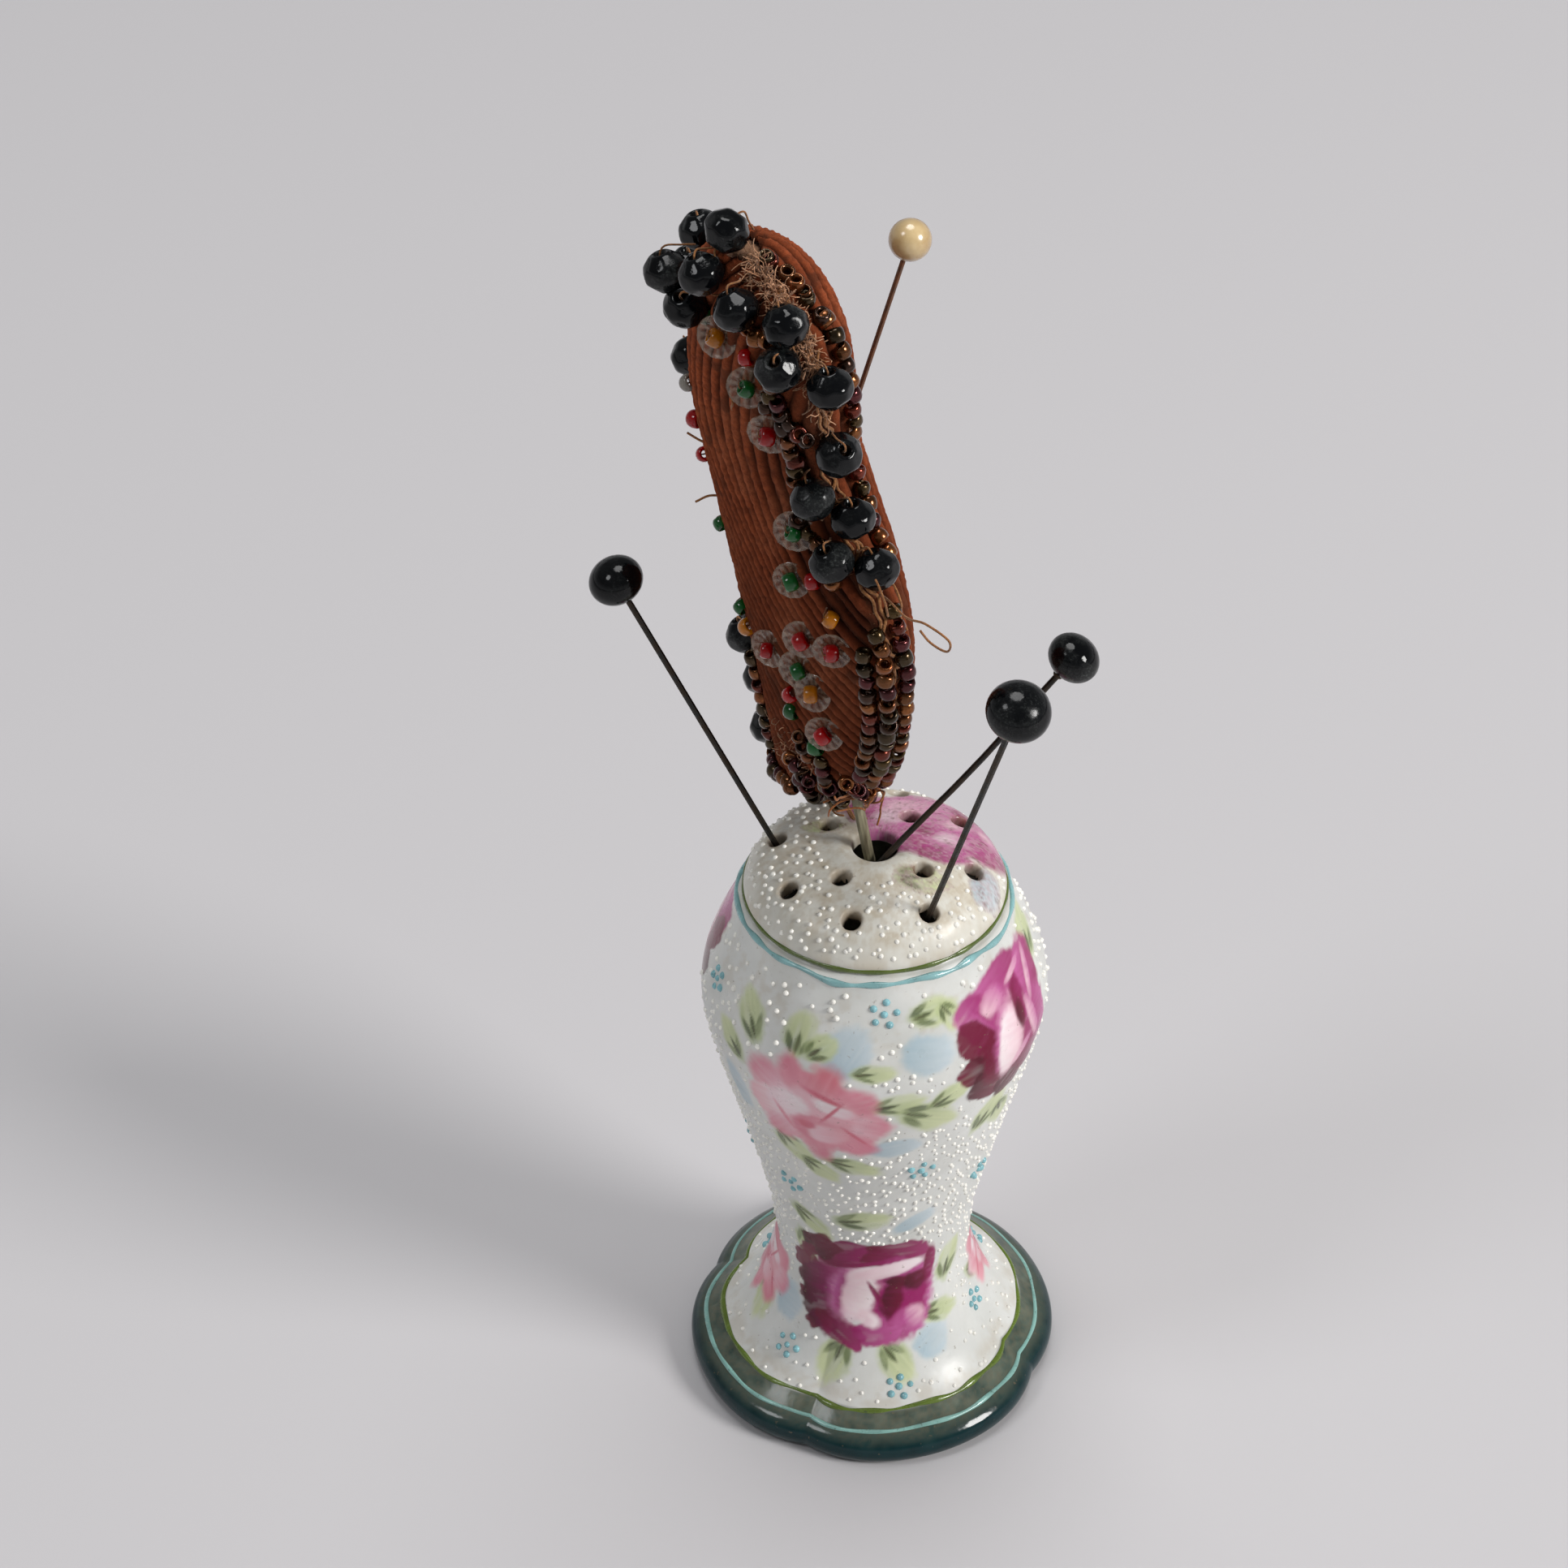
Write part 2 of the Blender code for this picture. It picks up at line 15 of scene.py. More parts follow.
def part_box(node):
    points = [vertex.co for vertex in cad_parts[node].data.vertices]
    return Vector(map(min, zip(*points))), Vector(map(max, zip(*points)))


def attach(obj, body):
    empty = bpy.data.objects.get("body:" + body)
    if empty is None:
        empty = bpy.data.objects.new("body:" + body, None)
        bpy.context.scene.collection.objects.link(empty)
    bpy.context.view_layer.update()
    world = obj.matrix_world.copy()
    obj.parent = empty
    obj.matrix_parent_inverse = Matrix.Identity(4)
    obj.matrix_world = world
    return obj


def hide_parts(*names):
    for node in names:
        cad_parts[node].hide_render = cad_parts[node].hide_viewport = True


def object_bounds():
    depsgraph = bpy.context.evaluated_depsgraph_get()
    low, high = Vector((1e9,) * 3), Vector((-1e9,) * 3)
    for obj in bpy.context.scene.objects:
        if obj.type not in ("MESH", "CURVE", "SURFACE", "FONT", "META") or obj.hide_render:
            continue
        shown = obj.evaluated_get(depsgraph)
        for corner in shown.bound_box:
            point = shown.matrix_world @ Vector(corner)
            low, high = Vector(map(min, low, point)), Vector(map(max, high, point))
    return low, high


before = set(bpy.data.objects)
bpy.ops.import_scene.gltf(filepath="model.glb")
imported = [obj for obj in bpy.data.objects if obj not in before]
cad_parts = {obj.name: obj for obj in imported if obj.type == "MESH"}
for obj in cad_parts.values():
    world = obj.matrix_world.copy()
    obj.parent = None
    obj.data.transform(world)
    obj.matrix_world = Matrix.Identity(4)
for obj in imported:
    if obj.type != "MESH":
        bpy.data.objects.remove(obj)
CAD_BOX = [[float(c) for c in corner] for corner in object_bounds()]
MM = 0.001
RNG = np.random.default_rng(11)

# ---------------------------------------------------------------- shape of the holder
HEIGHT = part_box("holder_body")[1][2] / MM
LOBES = 4
LOBE_NOTCH_DEG = -24.0
LOBE_DEPTH = 1.7
LOBE_FADE = (9.0, 24.0)
OUTSIDE = (
    (32.4, 0.0), (33.9, 0.9), (34.4, 2.4), (34.1, 4.0), (33.0, 5.2), (31.2, 6.2),
    (28.2, 8.2), (24.6, 11.4), (21.6, 15.6), (19.4, 21.5), (18.1, 28.0), (18.2, 34.0),
    (18.8, 40.0), (20.5, 48.0), (22.4, 56.0), (24.4, 64.0), (26.5, 72.0), (28.2, 78.5),
    (29.6, 84.5), (30.4, 90.0), (29.8, 95.0), (28.2, 100.0), (26.2, 104.6), (24.5, 108.4),
    (23.6, 110.5), (22.3, 111.3), (22.7, 112.4), (21.8, 114.6), (19.9, 117.0), (17.0, 118.7),
    (13.4, 119.9), (9.4, 120.6), (5.4, 121.0), (4.2, 120.7), (3.9, 119.8), (3.9, 118.6),
)
INSIDE = (
    (3.9, 118.6), (4.6, 118.2), (10.0, 117.6), (15.6, 115.9), (19.8, 112.4), (21.8, 108.0),
    (25.4, 99.4), (27.4, 91.6), (26.8, 84.0), (23.8, 71.6), (19.8, 55.6), (17.0, 43.4),
    (15.7, 34.0), (15.7, 28.0), (16.9, 21.8), (21.2, 13.0), (23.0, 9.0), (21.6, 6.4),
    (18.0, 5.6), (0.02, 5.6),
)
HOLE_RADIUS = 1.65
HOLES = [(17.3, -15.0 + 45.0 * i, 20.0, 118.4) for i in range(8)]
HOLES += [(10.0, -37.5 + 90.0 * i, 4.0, 120.2) for i in range(4)]

# ---------------------------------------------------------------- shape of the cushion
STICK_AT_HOLE = np.array((-1.45, -0.6, 121.0))
STICK_LEAN_DEG = 9.6
CUSHION_TURN_DEG = 30.0
STATIONS = np.array((
    (4.0, -16.0, -21.5), (8.0, -8.0, -23.6), (13.0, 1.0, -23.8), (20.0, 7.5, -23.4),
    (30.0, 14.5, -23.6), (42.0, 20.5, -24.6), (54.0, 23.5, -25.0), (64.0, 22.5, -25.0),
    (76.0, 16.5, -25.0), (86.0, 14.0, -24.5), (97.0, 17.5, -21.5), (109.0, 18.0, -15.5),
    (117.0, 12.0, -9.5), (121.0, 6.0, -5.0),
))
BELLY_LEFT = 5.6
BELLY_RIGHT = (9.5, 14.5)
BELLY_END = 2.6
BELLY_FULLNESS = 3.5
SECTION_POWER = 2.2
SECTION_ROUND = 0.62
WALE_SLANT = {1: 46.0, -1: 12.0}  # lean of the ribs low down on each face, in degrees
WALE = 2.95  # from one rib of the corduroy to the next

HAT_PINS = {
    "left": ((-17.5, 4.5, 118.5), (-42.5, 4.5, 174.2), 9.2, 0.25),
    "front": ((8.8, -15.0, 118.4), (20.6, -38.4, 179.8), 10.3, 0.45),
    "centre": ((2.3, -2.3, 121.0), (32.6, 2.6, 158.6), 9.1, 0.8),
}
HEAD_FLATTEN = 0.84


def tint(red, green, blue):
    """A display colour of 0 to 255 as linear light."""
    levels = np.array((red, green, blue)) / 255.0
    return np.where(levels < 0.04045, levels / 12.92, ((levels + 0.055) / 1.055) ** 2.4)


def unit(vector):
    vector = np.asarray(vector, float)
    return vector / np.linalg.norm(vector)


def square_to(axis):
    axis = unit(axis)
    helper = np.array([0.0, 0.0, 1.0]) if abs(axis[2]) < 0.9 else np.array([0.0, 1.0, 0.0])
    first = unit(np.cross(helper, axis))
    return first, np.cross(axis, first)


def smooth(low, high, value):
    part = np.clip((value - low) / (high - low), 0.0, 1.0)
    return part * part * (3.0 - 2.0 * part)


def scatter(i, j, seed):
    """A repeatable number from 0 to 1 for each pair of whole numbers."""
    mixed = i.astype(np.int64) * 374761393 + j.astype(np.int64) * 668265263 + seed * 974711
    mixed = (((mixed ^ (mixed >> 13)) % 1000003) * 1274126177) & 0xFFFFFFFF
    return ((mixed ^ (mixed >> 16)) & 0xFFFF) / 65535.0


def grain(x, y, seed):
    """Smooth noise from 0 to 1 with one feature to each unit of x and y."""
    i, j = np.floor(x), np.floor(y)
    fx, fy = smooth(0, 1, x - i), smooth(0, 1, y - j)
    low = scatter(i, j, seed) * (1 - fx) + scatter(i + 1, j, seed) * fx
    high = scatter(i, j + 1, seed) * (1 - fx) + scatter(i + 1, j + 1, seed) * fx
    return low * (1 - fy) + high * fy


def clouds(x, y, seed):
    """Noise with detail at three scales."""
    rough = grain(x, y, seed) * 0.55 + grain(x * 2.3, y * 2.3, seed + 3) * 0.3
    return rough + grain(x * 5.1, y * 5.1, seed + 5) * 0.15


# ---------------------------------------------------------------- meshes
def grid_faces(rows, columns, wrap):
    """Quads of a grid of points numbered row by row, closed round each row if wrap."""
    row, column = np.meshgrid(
        np.arange(rows - 1), np.arange(columns if wrap else columns - 1), indexing="ij"
    )
    row, column = row.ravel(), column.ravel()
    after = (column + 1) % columns
    base = row * columns
    return np.stack([base + column, base + after, base + columns + after,
                     base + columns + column], 1)


def closing_faces(rows, columns):
    """Quads that join the last row of a wrapped grid to its first."""
    side = np.arange(columns)
    after = (side + 1) % columns
    end = (rows - 1) * columns
    return np.stack([end + side, end + after, after, side], 1)


def make_piece(name, points, faces, material, body, colours):
    """A piece of the model from points in millimetres and a list of face arrays."""
    mesh = bpy.data.meshes.new(name)
    points = np.asarray(points, np.float32).reshape(-1, 3) * MM
    faces = [np.asarray(group, np.int32) for group in faces if len(group)]
    corners = np.concatenate([group.ravel() for group in faces])
    sizes = np.concatenate([np.full(len(group), group.shape[1]) for group in faces])
    mesh.vertices.add(len(points))
    mesh.vertices.foreach_set("co", points.ravel())
    mesh.loops.add(len(corners))
    mesh.loops.foreach_set("vertex_index", corners.astype(np.int32))
    mesh.polygons.add(len(sizes))
    starts = np.concatenate([[0], np.cumsum(sizes)[:-1]]).astype(np.int32)
    mesh.polygons.foreach_set("loop_start", starts)
    mesh.update(calc_edges=True)
    paint = mesh.attributes.new("paint", "FLOAT_COLOR", "POINT")
    full = np.ones((len(points), 4), np.float32)
    full[:, :3] = colours
    paint.data.foreach_set("color", full.ravel())
    mesh.validate()
    mesh.shade_smooth()
    mesh.materials.append(material)
    obj = bpy.data.objects.new(name, mesh)
    bpy.context.scene.collection.objects.link(obj)
    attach(obj, body)
    return obj


class Heap:
    """Collects many small shapes into the points, faces and colours of one piece."""

    def __init__(self):
        self.points, self.quads, self.tris, self.colours = [], [], [], []
        self.count = 0

    def add(self, points, quads=(), tris=(), colour=(1, 1, 1)):
        points = np.asarray(points, float)
        if len(quads):
            self.quads.append(np.asarray(quads, np.int64) + self.count)
        if len(tris):
            self.tris.append(np.asarray(tris, np.int64) + self.count)
        shade = np.asarray(colour, float)
        self.colours.append(np.broadcast_to(shade, (len(points), 3)))
        self.points.append(points)
        self.count += len(points)

    def piece(self, name, material, body):
        faces = [np.concatenate(group) for group in (self.quads, self.tris) if group]
        points, colours = np.concatenate(self.points), np.concatenate(self.colours)
        return make_piece(name, points, faces, material, body, colours)


def tube_shape(path, radii, sides=6):
    """Points, quads and end triangles of a tube along a path."""
    path = np.asarray(path, float)
    radii = np.broadcast_to(np.asarray(radii, float), (len(path),))
    ahead = np.gradient(path, axis=0)
    across = square_to(ahead[0])[0]
    points = []
    angles = 2 * math.pi * np.arange(sides) / sides
    for centre, heading, radius in zip(path, ahead, radii):
        heading = unit(heading)
        across = unit(across - heading * (across @ heading))
        over = np.cross(heading, across)
        points.append(centre + radius * (np.cos(angles)[:, None] * across
                                         + np.sin(angles)[:, None] * over))
    points = np.concatenate(points + [path[:1], path[-1:]])
    quads = grid_faces(len(path), sides, True)
    first, last = len(points) - 2, len(points) - 1
    side = np.arange(sides)
    after = (side + 1) % sides
    end = (len(path) - 1) * sides
    tris = [(first, b, a) for a, b in zip(side, after)]
    tris += [(last, end + a, end + b) for a, b in zip(side, after)]
    return points, quads, tris


def turned_shape(profile, centre, axis, sides, closed=False):
    """A shape turned from (radius, rise) stations round an axis."""
    first, second = square_to(axis)
    axis = unit(axis)
    angles = 2 * math.pi * np.arange(sides) / sides
    flat = np.cos(angles)[:, None] * first + np.sin(angles)[:, None] * second
    rings = [np.asarray(centre) + reach * flat + rise * axis for reach, rise in profile]
    quads = grid_faces(len(profile), sides, True)
    if closed:
        quads = np.concatenate([quads, closing_faces(len(profile), sides)])
    return np.concatenate(rings), quads


def smooth_path(points, count):
    """A soft curve through a few points."""
    points = np.asarray(points, float)
    run = np.concatenate([[0], np.cumsum(np.linalg.norm(np.diff(points, axis=0), axis=1))])
    slopes = np.gradient(points, run, axis=0)
    at = np.linspace(0, run[-1], count)
    index = np.clip(np.searchsorted(run, at, side="right") - 1, 0, len(run) - 2)
    width = (run[index + 1] - run[index])[:, None]
    part = ((at - run[index])[:, None]) / width
    a, b = points[index], points[index + 1]
    m, n = slopes[index] * width, slopes[index + 1] * width
    square, cube = part ** 2, part ** 3
    return (a * (2 * cube - 3 * square + 1) + m * (cube - 2 * square + part)
            + b * (3 * square - 2 * cube) + n * (cube - square))


# ---------------------------------------------------------------- materials
def new_material(name, roughness=0.5, metallic=0.0, colour=(0.5, 0.5, 0.5), **sockets):
    material = bpy.data.materials.new(name)
    material.use_nodes = True
    tree = material.node_tree
    shader = tree.nodes["Principled BSDF"]
    shader.inputs["Roughness"].default_value = roughness
    shader.inputs["Metallic"].default_value = metallic
    shader.inputs["Base Color"].default_value = (*colour, 1.0)
    for key, value in sockets.items():
        shader.inputs[key.replace("_", " ")].default_value = value
    return material, tree, shader


def add_node(tree, kind, inputs=None, **settings):
    node = tree.nodes.new(kind)
    for key, value in settings.items():
        setattr(node, key, value)
    for key, value in (inputs or {}).items():
        if isinstance(value, bpy.types.NodeSocket):
            tree.links.new(value, node.inputs[key])
        else:
            node.inputs[key].default_value = value
    return node


def noise_node(tree, scale, detail=3.0, roughness=0.55, stretch=(1, 1, 1)):
    place = add_node(tree, "ShaderNodeTexCoord").outputs["Object"]
    place = add_node(tree, "ShaderNodeMapping", {"Vector": place, "Scale": stretch})
    return add_node(tree, "ShaderNodeTexNoise", {
        "Vector": place.outputs["Vector"], "Scale": scale, "Detail": detail,
        "Roughness": roughness,
    }).outputs["Fac"]


def range_node(tree, value, low, high, to_low, to_high):
    return add_node(tree, "ShaderNodeMapRange", {
        "Value": value, "From Min": low, "From Max": high, "To Min": to_low,
        "To Max": to_high,
    }).outputs["Result"]


def mix_colours(tree, factor, first, second, blend="MIX"):
    node = tree.nodes.new("ShaderNodeMix")
    node.data_type = "RGBA"
    node.blend_type = blend
    for index, value in ((0, factor), (6, first), (7, second)):
        if isinstance(value, bpy.types.NodeSocket):
            tree.links.new(value, node.inputs[index])
        elif index:
            node.inputs[index].default_value = (*value, 1.0)
        else:
            node.inputs[index].default_value = value
    return node.outputs[2]


def add_bump(tree, shader, height, strength, distance):
    bump = add_node(tree, "ShaderNodeBump", {
        "Height": height, "Strength": strength, "Distance": distance,
    })
    tree.links.new(bump.outputs["Normal"], shader.inputs["Normal"])


def painted(tree):
    return add_node(tree, "ShaderNodeAttribute", attribute_name="paint").outputs["Color"]


def porcelain_material():
    material, tree, shader = new_material(
        "glazed_porcelain", Coat_Weight=0.05, Coat_Roughness=0.07, IOR=1.5,
        Specular_IOR_Level=0.32,
    )
    mottle = range_node(tree, noise_node(tree, 140, 4), 0.3, 0.7, 0.0, 0.28)
    colour = mix_colours(tree, mottle, painted(tree), tuple(tint(222, 218, 208)), "MULTIPLY")
    speck = range_node(tree, noise_node(tree, 900, 2), 0.69, 0.76, 0.0, 0.45)
    colour = mix_colours(tree, speck, colour, tuple(tint(120, 104, 82)))
    tree.links.new(colour, shader.inputs["Base Color"])
    bright = add_node(tree, "ShaderNodeRGBToBW", {"Color": painted(tree)}).outputs["Val"]
    pale = range_node(tree, bright, 0.03, 0.3, 0.35, 1.0)
    gloss = range_node(tree, noise_node(tree, 260, 3), 0.3, 0.75, 0.26, 0.4)
    gloss = add_node(tree, "ShaderNodeMath", {0: gloss, 1: pale}, operation="MULTIPLY")
    tree.links.new(gloss.outputs[0], shader.inputs["Roughness"])
    add_bump(tree, shader, noise_node(tree, 330, 2), 0.18, 0.0004)
    return material


def enamel_material(name, dark, worn=0.5):
    """Raised glossy enamel whose colour is painted on the mesh, with dirt in its pits."""
    material, tree, shader = new_material(name, Coat_Weight=0.35, Coat_Roughness=0.08)
    spots = range_node(tree, noise_node(tree, 1500, 3), 0.62, 0.72, 0.0, worn)
    colour = mix_colours(tree, spots, painted(tree), tuple(dark))
    tree.links.new(colour, shader.inputs["Base Color"])
    gloss = range_node(tree, noise_node(tree, 700, 2), 0.3, 0.7, 0.12, 0.35)
    tree.links.new(gloss, shader.inputs["Roughness"])
    add_bump(tree, shader, noise_node(tree, 1300, 2), 0.25, 0.0003)
    return material


def corduroy_material():
    material, tree, shader = new_material(
        "rust_corduroy", roughness=0.95, Sheen_Weight=0.12, Sheen_Roughness=0.4,
        Sheen_Tint=(0.85, 0.4, 0.25, 1.0), Specular_IOR_Level=0.05,
    )
    fuzz = noise_node(tree, 3600, 4, 0.7)
    shade = range_node(tree, fuzz, 0.3, 0.7, 0.0, 0.3)
    colour = mix_colours(tree, shade, painted(tree), tuple(tint(60, 24, 13)), "MIX")
    nap = range_node(tree, noise_node(tree, 1250, 3, 0.6), 0.42, 0.66, 0.0, 0.5)
    colour = mix_colours(tree, nap, colour, tuple(tint(74, 30, 16)))
    faded = range_node(tree, noise_node(tree, 110, 4), 0.45, 0.75, 0.0, 0.14)
    colour = mix_colours(tree, faded, colour, tuple(tint(180, 104, 70)))
    tree.links.new(colour, shader.inputs["Base Color"])
    add_bump(tree, shader, fuzz, 0.7, 0.0006)
    return material


def fibre_material(name, light, dark):
    material, tree, shader = new_material(
        name, roughness=0.9, Sheen_Weight=0.25, Specular_IOR_Level=0.2,
    )
    twist = range_node(tree, noise_node(tree, 2600, 3), 0.3, 0.7, 0.0, 1.0)
    colour = mix_colours(tree, twist, tuple(light), tuple(dark))
    colour = mix_colours(tree, 1.0, colour, painted(tree), "MULTIPLY")
    tree.links.new(colour, shader.inputs["Base Color"])
    add_bump(tree, shader, noise_node(tree, 5200, 2), 0.6, 0.0003)
    return material


def jet_material(name, dust, rough=0.07):
    """Black glass under more or less dust."""
    material, tree, shader = new_material(
        name, Coat_Weight=0.1, Coat_Roughness=0.02, IOR=1.5, Specular_IOR_Level=0.2,
    )
    haze = range_node(tree, noise_node(tree, 190, 4), 0.42, 0.68, 0.0, dust)
    motes = range_node(tree, noise_node(tree, 2400, 3, 0.7), 0.5, 0.72, 0.12, 1.0)
    cover = add_node(tree, "ShaderNodeMath", {0: haze, 1: motes}, operation="MULTIPLY")
    colour = mix_colours(
        tree, cover.outputs[0], tuple(tint(5, 6, 8)), tuple(tint(90, 94, 92))
    )
    tree.links.new(colour, shader.inputs["Base Color"])
    gloss = range_node(tree, haze, 0.0, 1.0, rough, 0.62)
    tree.links.new(gloss, shader.inputs["Roughness"])
    add_bump(tree, shader, noise_node(tree, 520, 3), 0.16, 0.0005)
    return material


def bead_glass_material(name, metallic, coat, rough, grimy):
    material, tree, shader = new_material(
        name, metallic=metallic, Coat_Weight=coat, Coat_Roughness=0.03,
        Specular_IOR_Level=0.35,
    )
    grime_and_seam_shade = range_node(tree, noise_node(tree, 1500, 3), 0.5, 0.75, 0.0, grimy)
    colour = mix_colours(tree, grime_and_seam_shade, painted(tree), tuple(tint(40, 26, 18)))
    tree.links.new(colour, shader.inputs["Base Color"])
    gloss = range_node(tree, noise_node(tree, 900, 2), 0.3, 0.7, rough, rough + 0.18)
    tree.links.new(gloss, shader.inputs["Roughness"])
    return material


def sequin_material():
    material, tree, shader = new_material(
        "clear_sequin", Coat_Weight=1.0, Coat_Roughness=0.05, Specular_IOR_Level=0.8,
    )
    film = range_node(tree, noise_node(tree, 420, 2), 0.3, 0.7, 0.0, 1.0)
    colour = mix_colours(tree, film, tuple(tint(186, 164, 142)), tuple(tint(132, 104, 84)))
    # The painted rays and the painted highlight on the rims set the colour and the opacity.
    colour = mix_colours(tree, 1.0, colour, painted(tree), "MULTIPLY")
    tree.links.new(colour, shader.inputs["Base Color"])
    ray = add_node(tree, "ShaderNodeRGBToBW", {"Color": painted(tree)}).outputs["Val"]
    tree.links.new(range_node(tree, ray, 0.2, 1.0, 0.14, 0.44), shader.inputs["Alpha"])
    gloss = range_node(tree, film, 0.0, 1.0, 0.1, 0.3)
    tree.links.new(gloss, shader.inputs["Roughness"])
    return material


def metal_material(name, clean, aged, metallic, scale, low):
    material, tree, shader = new_material(name, metallic=metallic)
    patches = range_node(tree, noise_node(tree, scale, 5, 0.65), low, 0.7, 0.0, 1.0)
    colour = mix_colours(tree, patches, tuple(clean), tuple(aged))
    tree.links.new(colour, shader.inputs["Base Color"])
    gloss = range_node(tree, patches, 0.0, 1.0, 0.32, 0.75)
    tree.links.new(gloss, shader.inputs["Roughness"])
    add_bump(tree, shader, noise_node(tree, 2200, 3), 0.35, 0.0002)
    return material


def wood_material():
    material, tree, shader = new_material("aged_stick", roughness=0.6)
    streak = noise_node(tree, 900, 4, 0.6, (1.0, 1.0, 0.08))
    dark = range_node(tree, streak, 0.35, 0.65, 0.0, 1.0)
    colour = mix_colours(tree, dark, tuple(tint(148, 142, 116)), tuple(tint(92, 84, 62)))
    stain = range_node(tree, noise_node(tree, 130, 3), 0.5, 0.7, 0.0, 0.5)
    colour = mix_colours(tree, stain, colour, tuple(tint(70, 60, 44)))
    tree.links.new(colour, shader.inputs["Base Color"])
    add_bump(tree, shader, streak, 0.4, 0.0003)
    return material


def pearl_material():
    material, tree, shader = new_material(
        "cream_pearl", Coat_Weight=0.8, Coat_Roughness=0.12, Sheen_Weight=0.15,
    )
    bloom = range_node(tree, noise_node(tree, 420, 4), 0.3, 0.7, 0.0, 1.0)
    colour = mix_colours(tree, bloom, tuple(tint(212, 188, 142)), tuple(tint(190, 160, 110)))
    # Painted shade: the pearl's colour darkens towards its outline as the surface turns away from
    # view.
    facing = add_node(tree, "ShaderNodeLayerWeight", {"Blend": 0.35}).outputs["Facing"]
    rim = range_node(tree, facing, 0.1, 0.9, 0.0, 0.8)
    colour = mix_colours(tree, rim, colour, tuple(tint(132, 98, 54)))
    tree.links.new(colour, shader.inputs["Base Color"])
    gloss = range_node(tree, bloom, 0.0, 1.0, 0.2, 0.3)
    tree.links.new(gloss, shader.inputs["Roughness"])
    return material


# ---------------------------------------------------------------- holder
def even_profile(stations, pitch):
    """A soft curve through (radius, height) stations, with points at an even pitch."""
    points = np.array([(r, 0.0, z) for r, z in stations])
    run = np.linalg.norm(np.diff(points, axis=0), axis=1).sum()
    line = smooth_path(points, int(run / pitch) + 2)
    return line[:, 0], line[:, 2]


PROFILE_R, PROFILE_Z = even_profile(OUTSIDE, 0.34)
PROFILE_S = np.concatenate([[0], np.cumsum(np.hypot(np.diff(PROFILE_R), np.diff(PROFILE_Z)))])
TOP_ROW = int(np.argmax(PROFILE_Z))


def rise_of(height):
    """Distance along the profile from the foot to a height."""
    return np.interp(height, np.maximum.accumulate(PROFILE_Z[:TOP_ROW]), PROFILE_S[:TOP_ROW])


def lobe(bearing):
    turn = np.sin(0.5 * LOBES * (bearing - math.radians(LOBE_NOTCH_DEG)))
    return (1.0 - np.abs(turn)) ** 2.2


def notch(bearing, height):
    low, high = LOBE_FADE
    return LOBE_DEPTH * np.clip((high - height) / (high - low), 0, 1) * lobe(bearing)


def on_holder(bearing_deg, height, lift=0.0):
    """Points just off the outside of the holder, and the way out of it."""
    bearing = np.radians(np.asarray(bearing_deg, float))
    run = rise_of(np.asarray(height, float))
    radius = np.interp(run, PROFILE_S, PROFILE_R)
    level = np.interp(run, PROFILE_S, PROFILE_Z)
    dr = np.interp(run + 0.4, PROFILE_S, PROFILE_R) - np.interp(run - 0.4, PROFILE_S, PROFILE_R)
    dz = np.interp(run + 0.4, PROFILE_S, PROFILE_Z) - np.interp(run - 0.4, PROFILE_S, PROFILE_Z)
    length = np.hypot(dr, dz)
    out_r, out_z = dz / length, -dr / length
    reach = radius - notch(bearing, level)
    way = np.stack([np.cos(bearing) * out_r, np.sin(bearing) * out_r,
                    out_z + 0 * bearing], -1)
    spot = np.stack([reach * np.cos(bearing), reach * np.sin(bearing),
                     level + 0 * bearing], -1)
    return spot + lift * way, way


class Canvas:
    """Points of the glaze and the colour painted on each."""

    def __init__(self, bearing, run, radius, height):
        self.bearing, self.run, self.radius, self.height = bearing, run, radius, height
        angle = np.radians(bearing)
        self.x, self.y = radius * np.cos(angle), radius * np.sin(angle)
        self.dome = height > 112.5
        self.colour = np.empty((len(bearing), 3))
        self.cover = np.zeros(len(bearing))

    def frame(self, at, dome):
        """Millimetres across and up the surface from a place."""
        if dome:
            far = np.where(self.dome, 0.0, 99.0)
            return self.x - at[0] + far, self.y - at[1]
        turn = (self.bearing - at[0] + 180.0) % 360.0 - 180.0
        return np.radians(turn) * self.radius, self.run - rise_of(at[1])

    def mix(self, where, colour, alpha):
        self.colour[where] += (colour - self.colour[where]) * alpha[:, None]
        self.cover[where] = np.maximum(self.cover[where], alpha)


def stroke(canvas, at, shift, reach, turn, ink, tip=None, soft=0.3, hairs=0.3,
           strength=0.95, seed=1, corner=2.2, scallop=0.0, dome=False):
    """One touch of the brush: a soft oval, darker at its start than at its tip."""
    tip = ink if tip is None else tip
    u, v = canvas.frame(at, dome)
    u, v = u - shift[0], v - shift[1]
    room = 1.35 * max(reach)
    near = np.nonzero((np.abs(u) < room) & (np.abs(v) < room))[0]
    if not len(near):
        return
    u, v = u[near], v[near]
    c, s = math.cos(math.radians(turn)), math.sin(math.radians(turn))
    p, q = (u * c + v * s) / reach[0], (v * c - u * s) / reach[1]
    edge = (np.abs(p) ** corner + np.abs(q) ** corner) ** (1.0 / corner)
    angle = np.arctan2(q, p)
    rag = 0.13 * (grain(u * 0.5, v * 0.5, seed) - 0.5)
    rag += 0.12 * (grain(u * 1.3, v * 1.3, seed) - 0.5)
    edge *= 1 + scallop * np.sin(5 * angle + seed) + rag
    mask = 1 - smooth(1 - soft, 1.04, edge)
    brush = grain(p * 1.3 + 9, q * reach[1] * 1.9 + 40, seed + 7)
    shade = np.clip(0.5 + 0.55 * p + hairs * 1.6 * (brush - 0.5), 0, 1)[:, None]
    thin = 1 - hairs * smooth(0.45, 0.95, grain(p + 4, q * reach[1] * 1.3 + 20, seed + 9))
    canvas.mix(near, ink * (1 - shade) + tip * shade, strength * mask * thin)


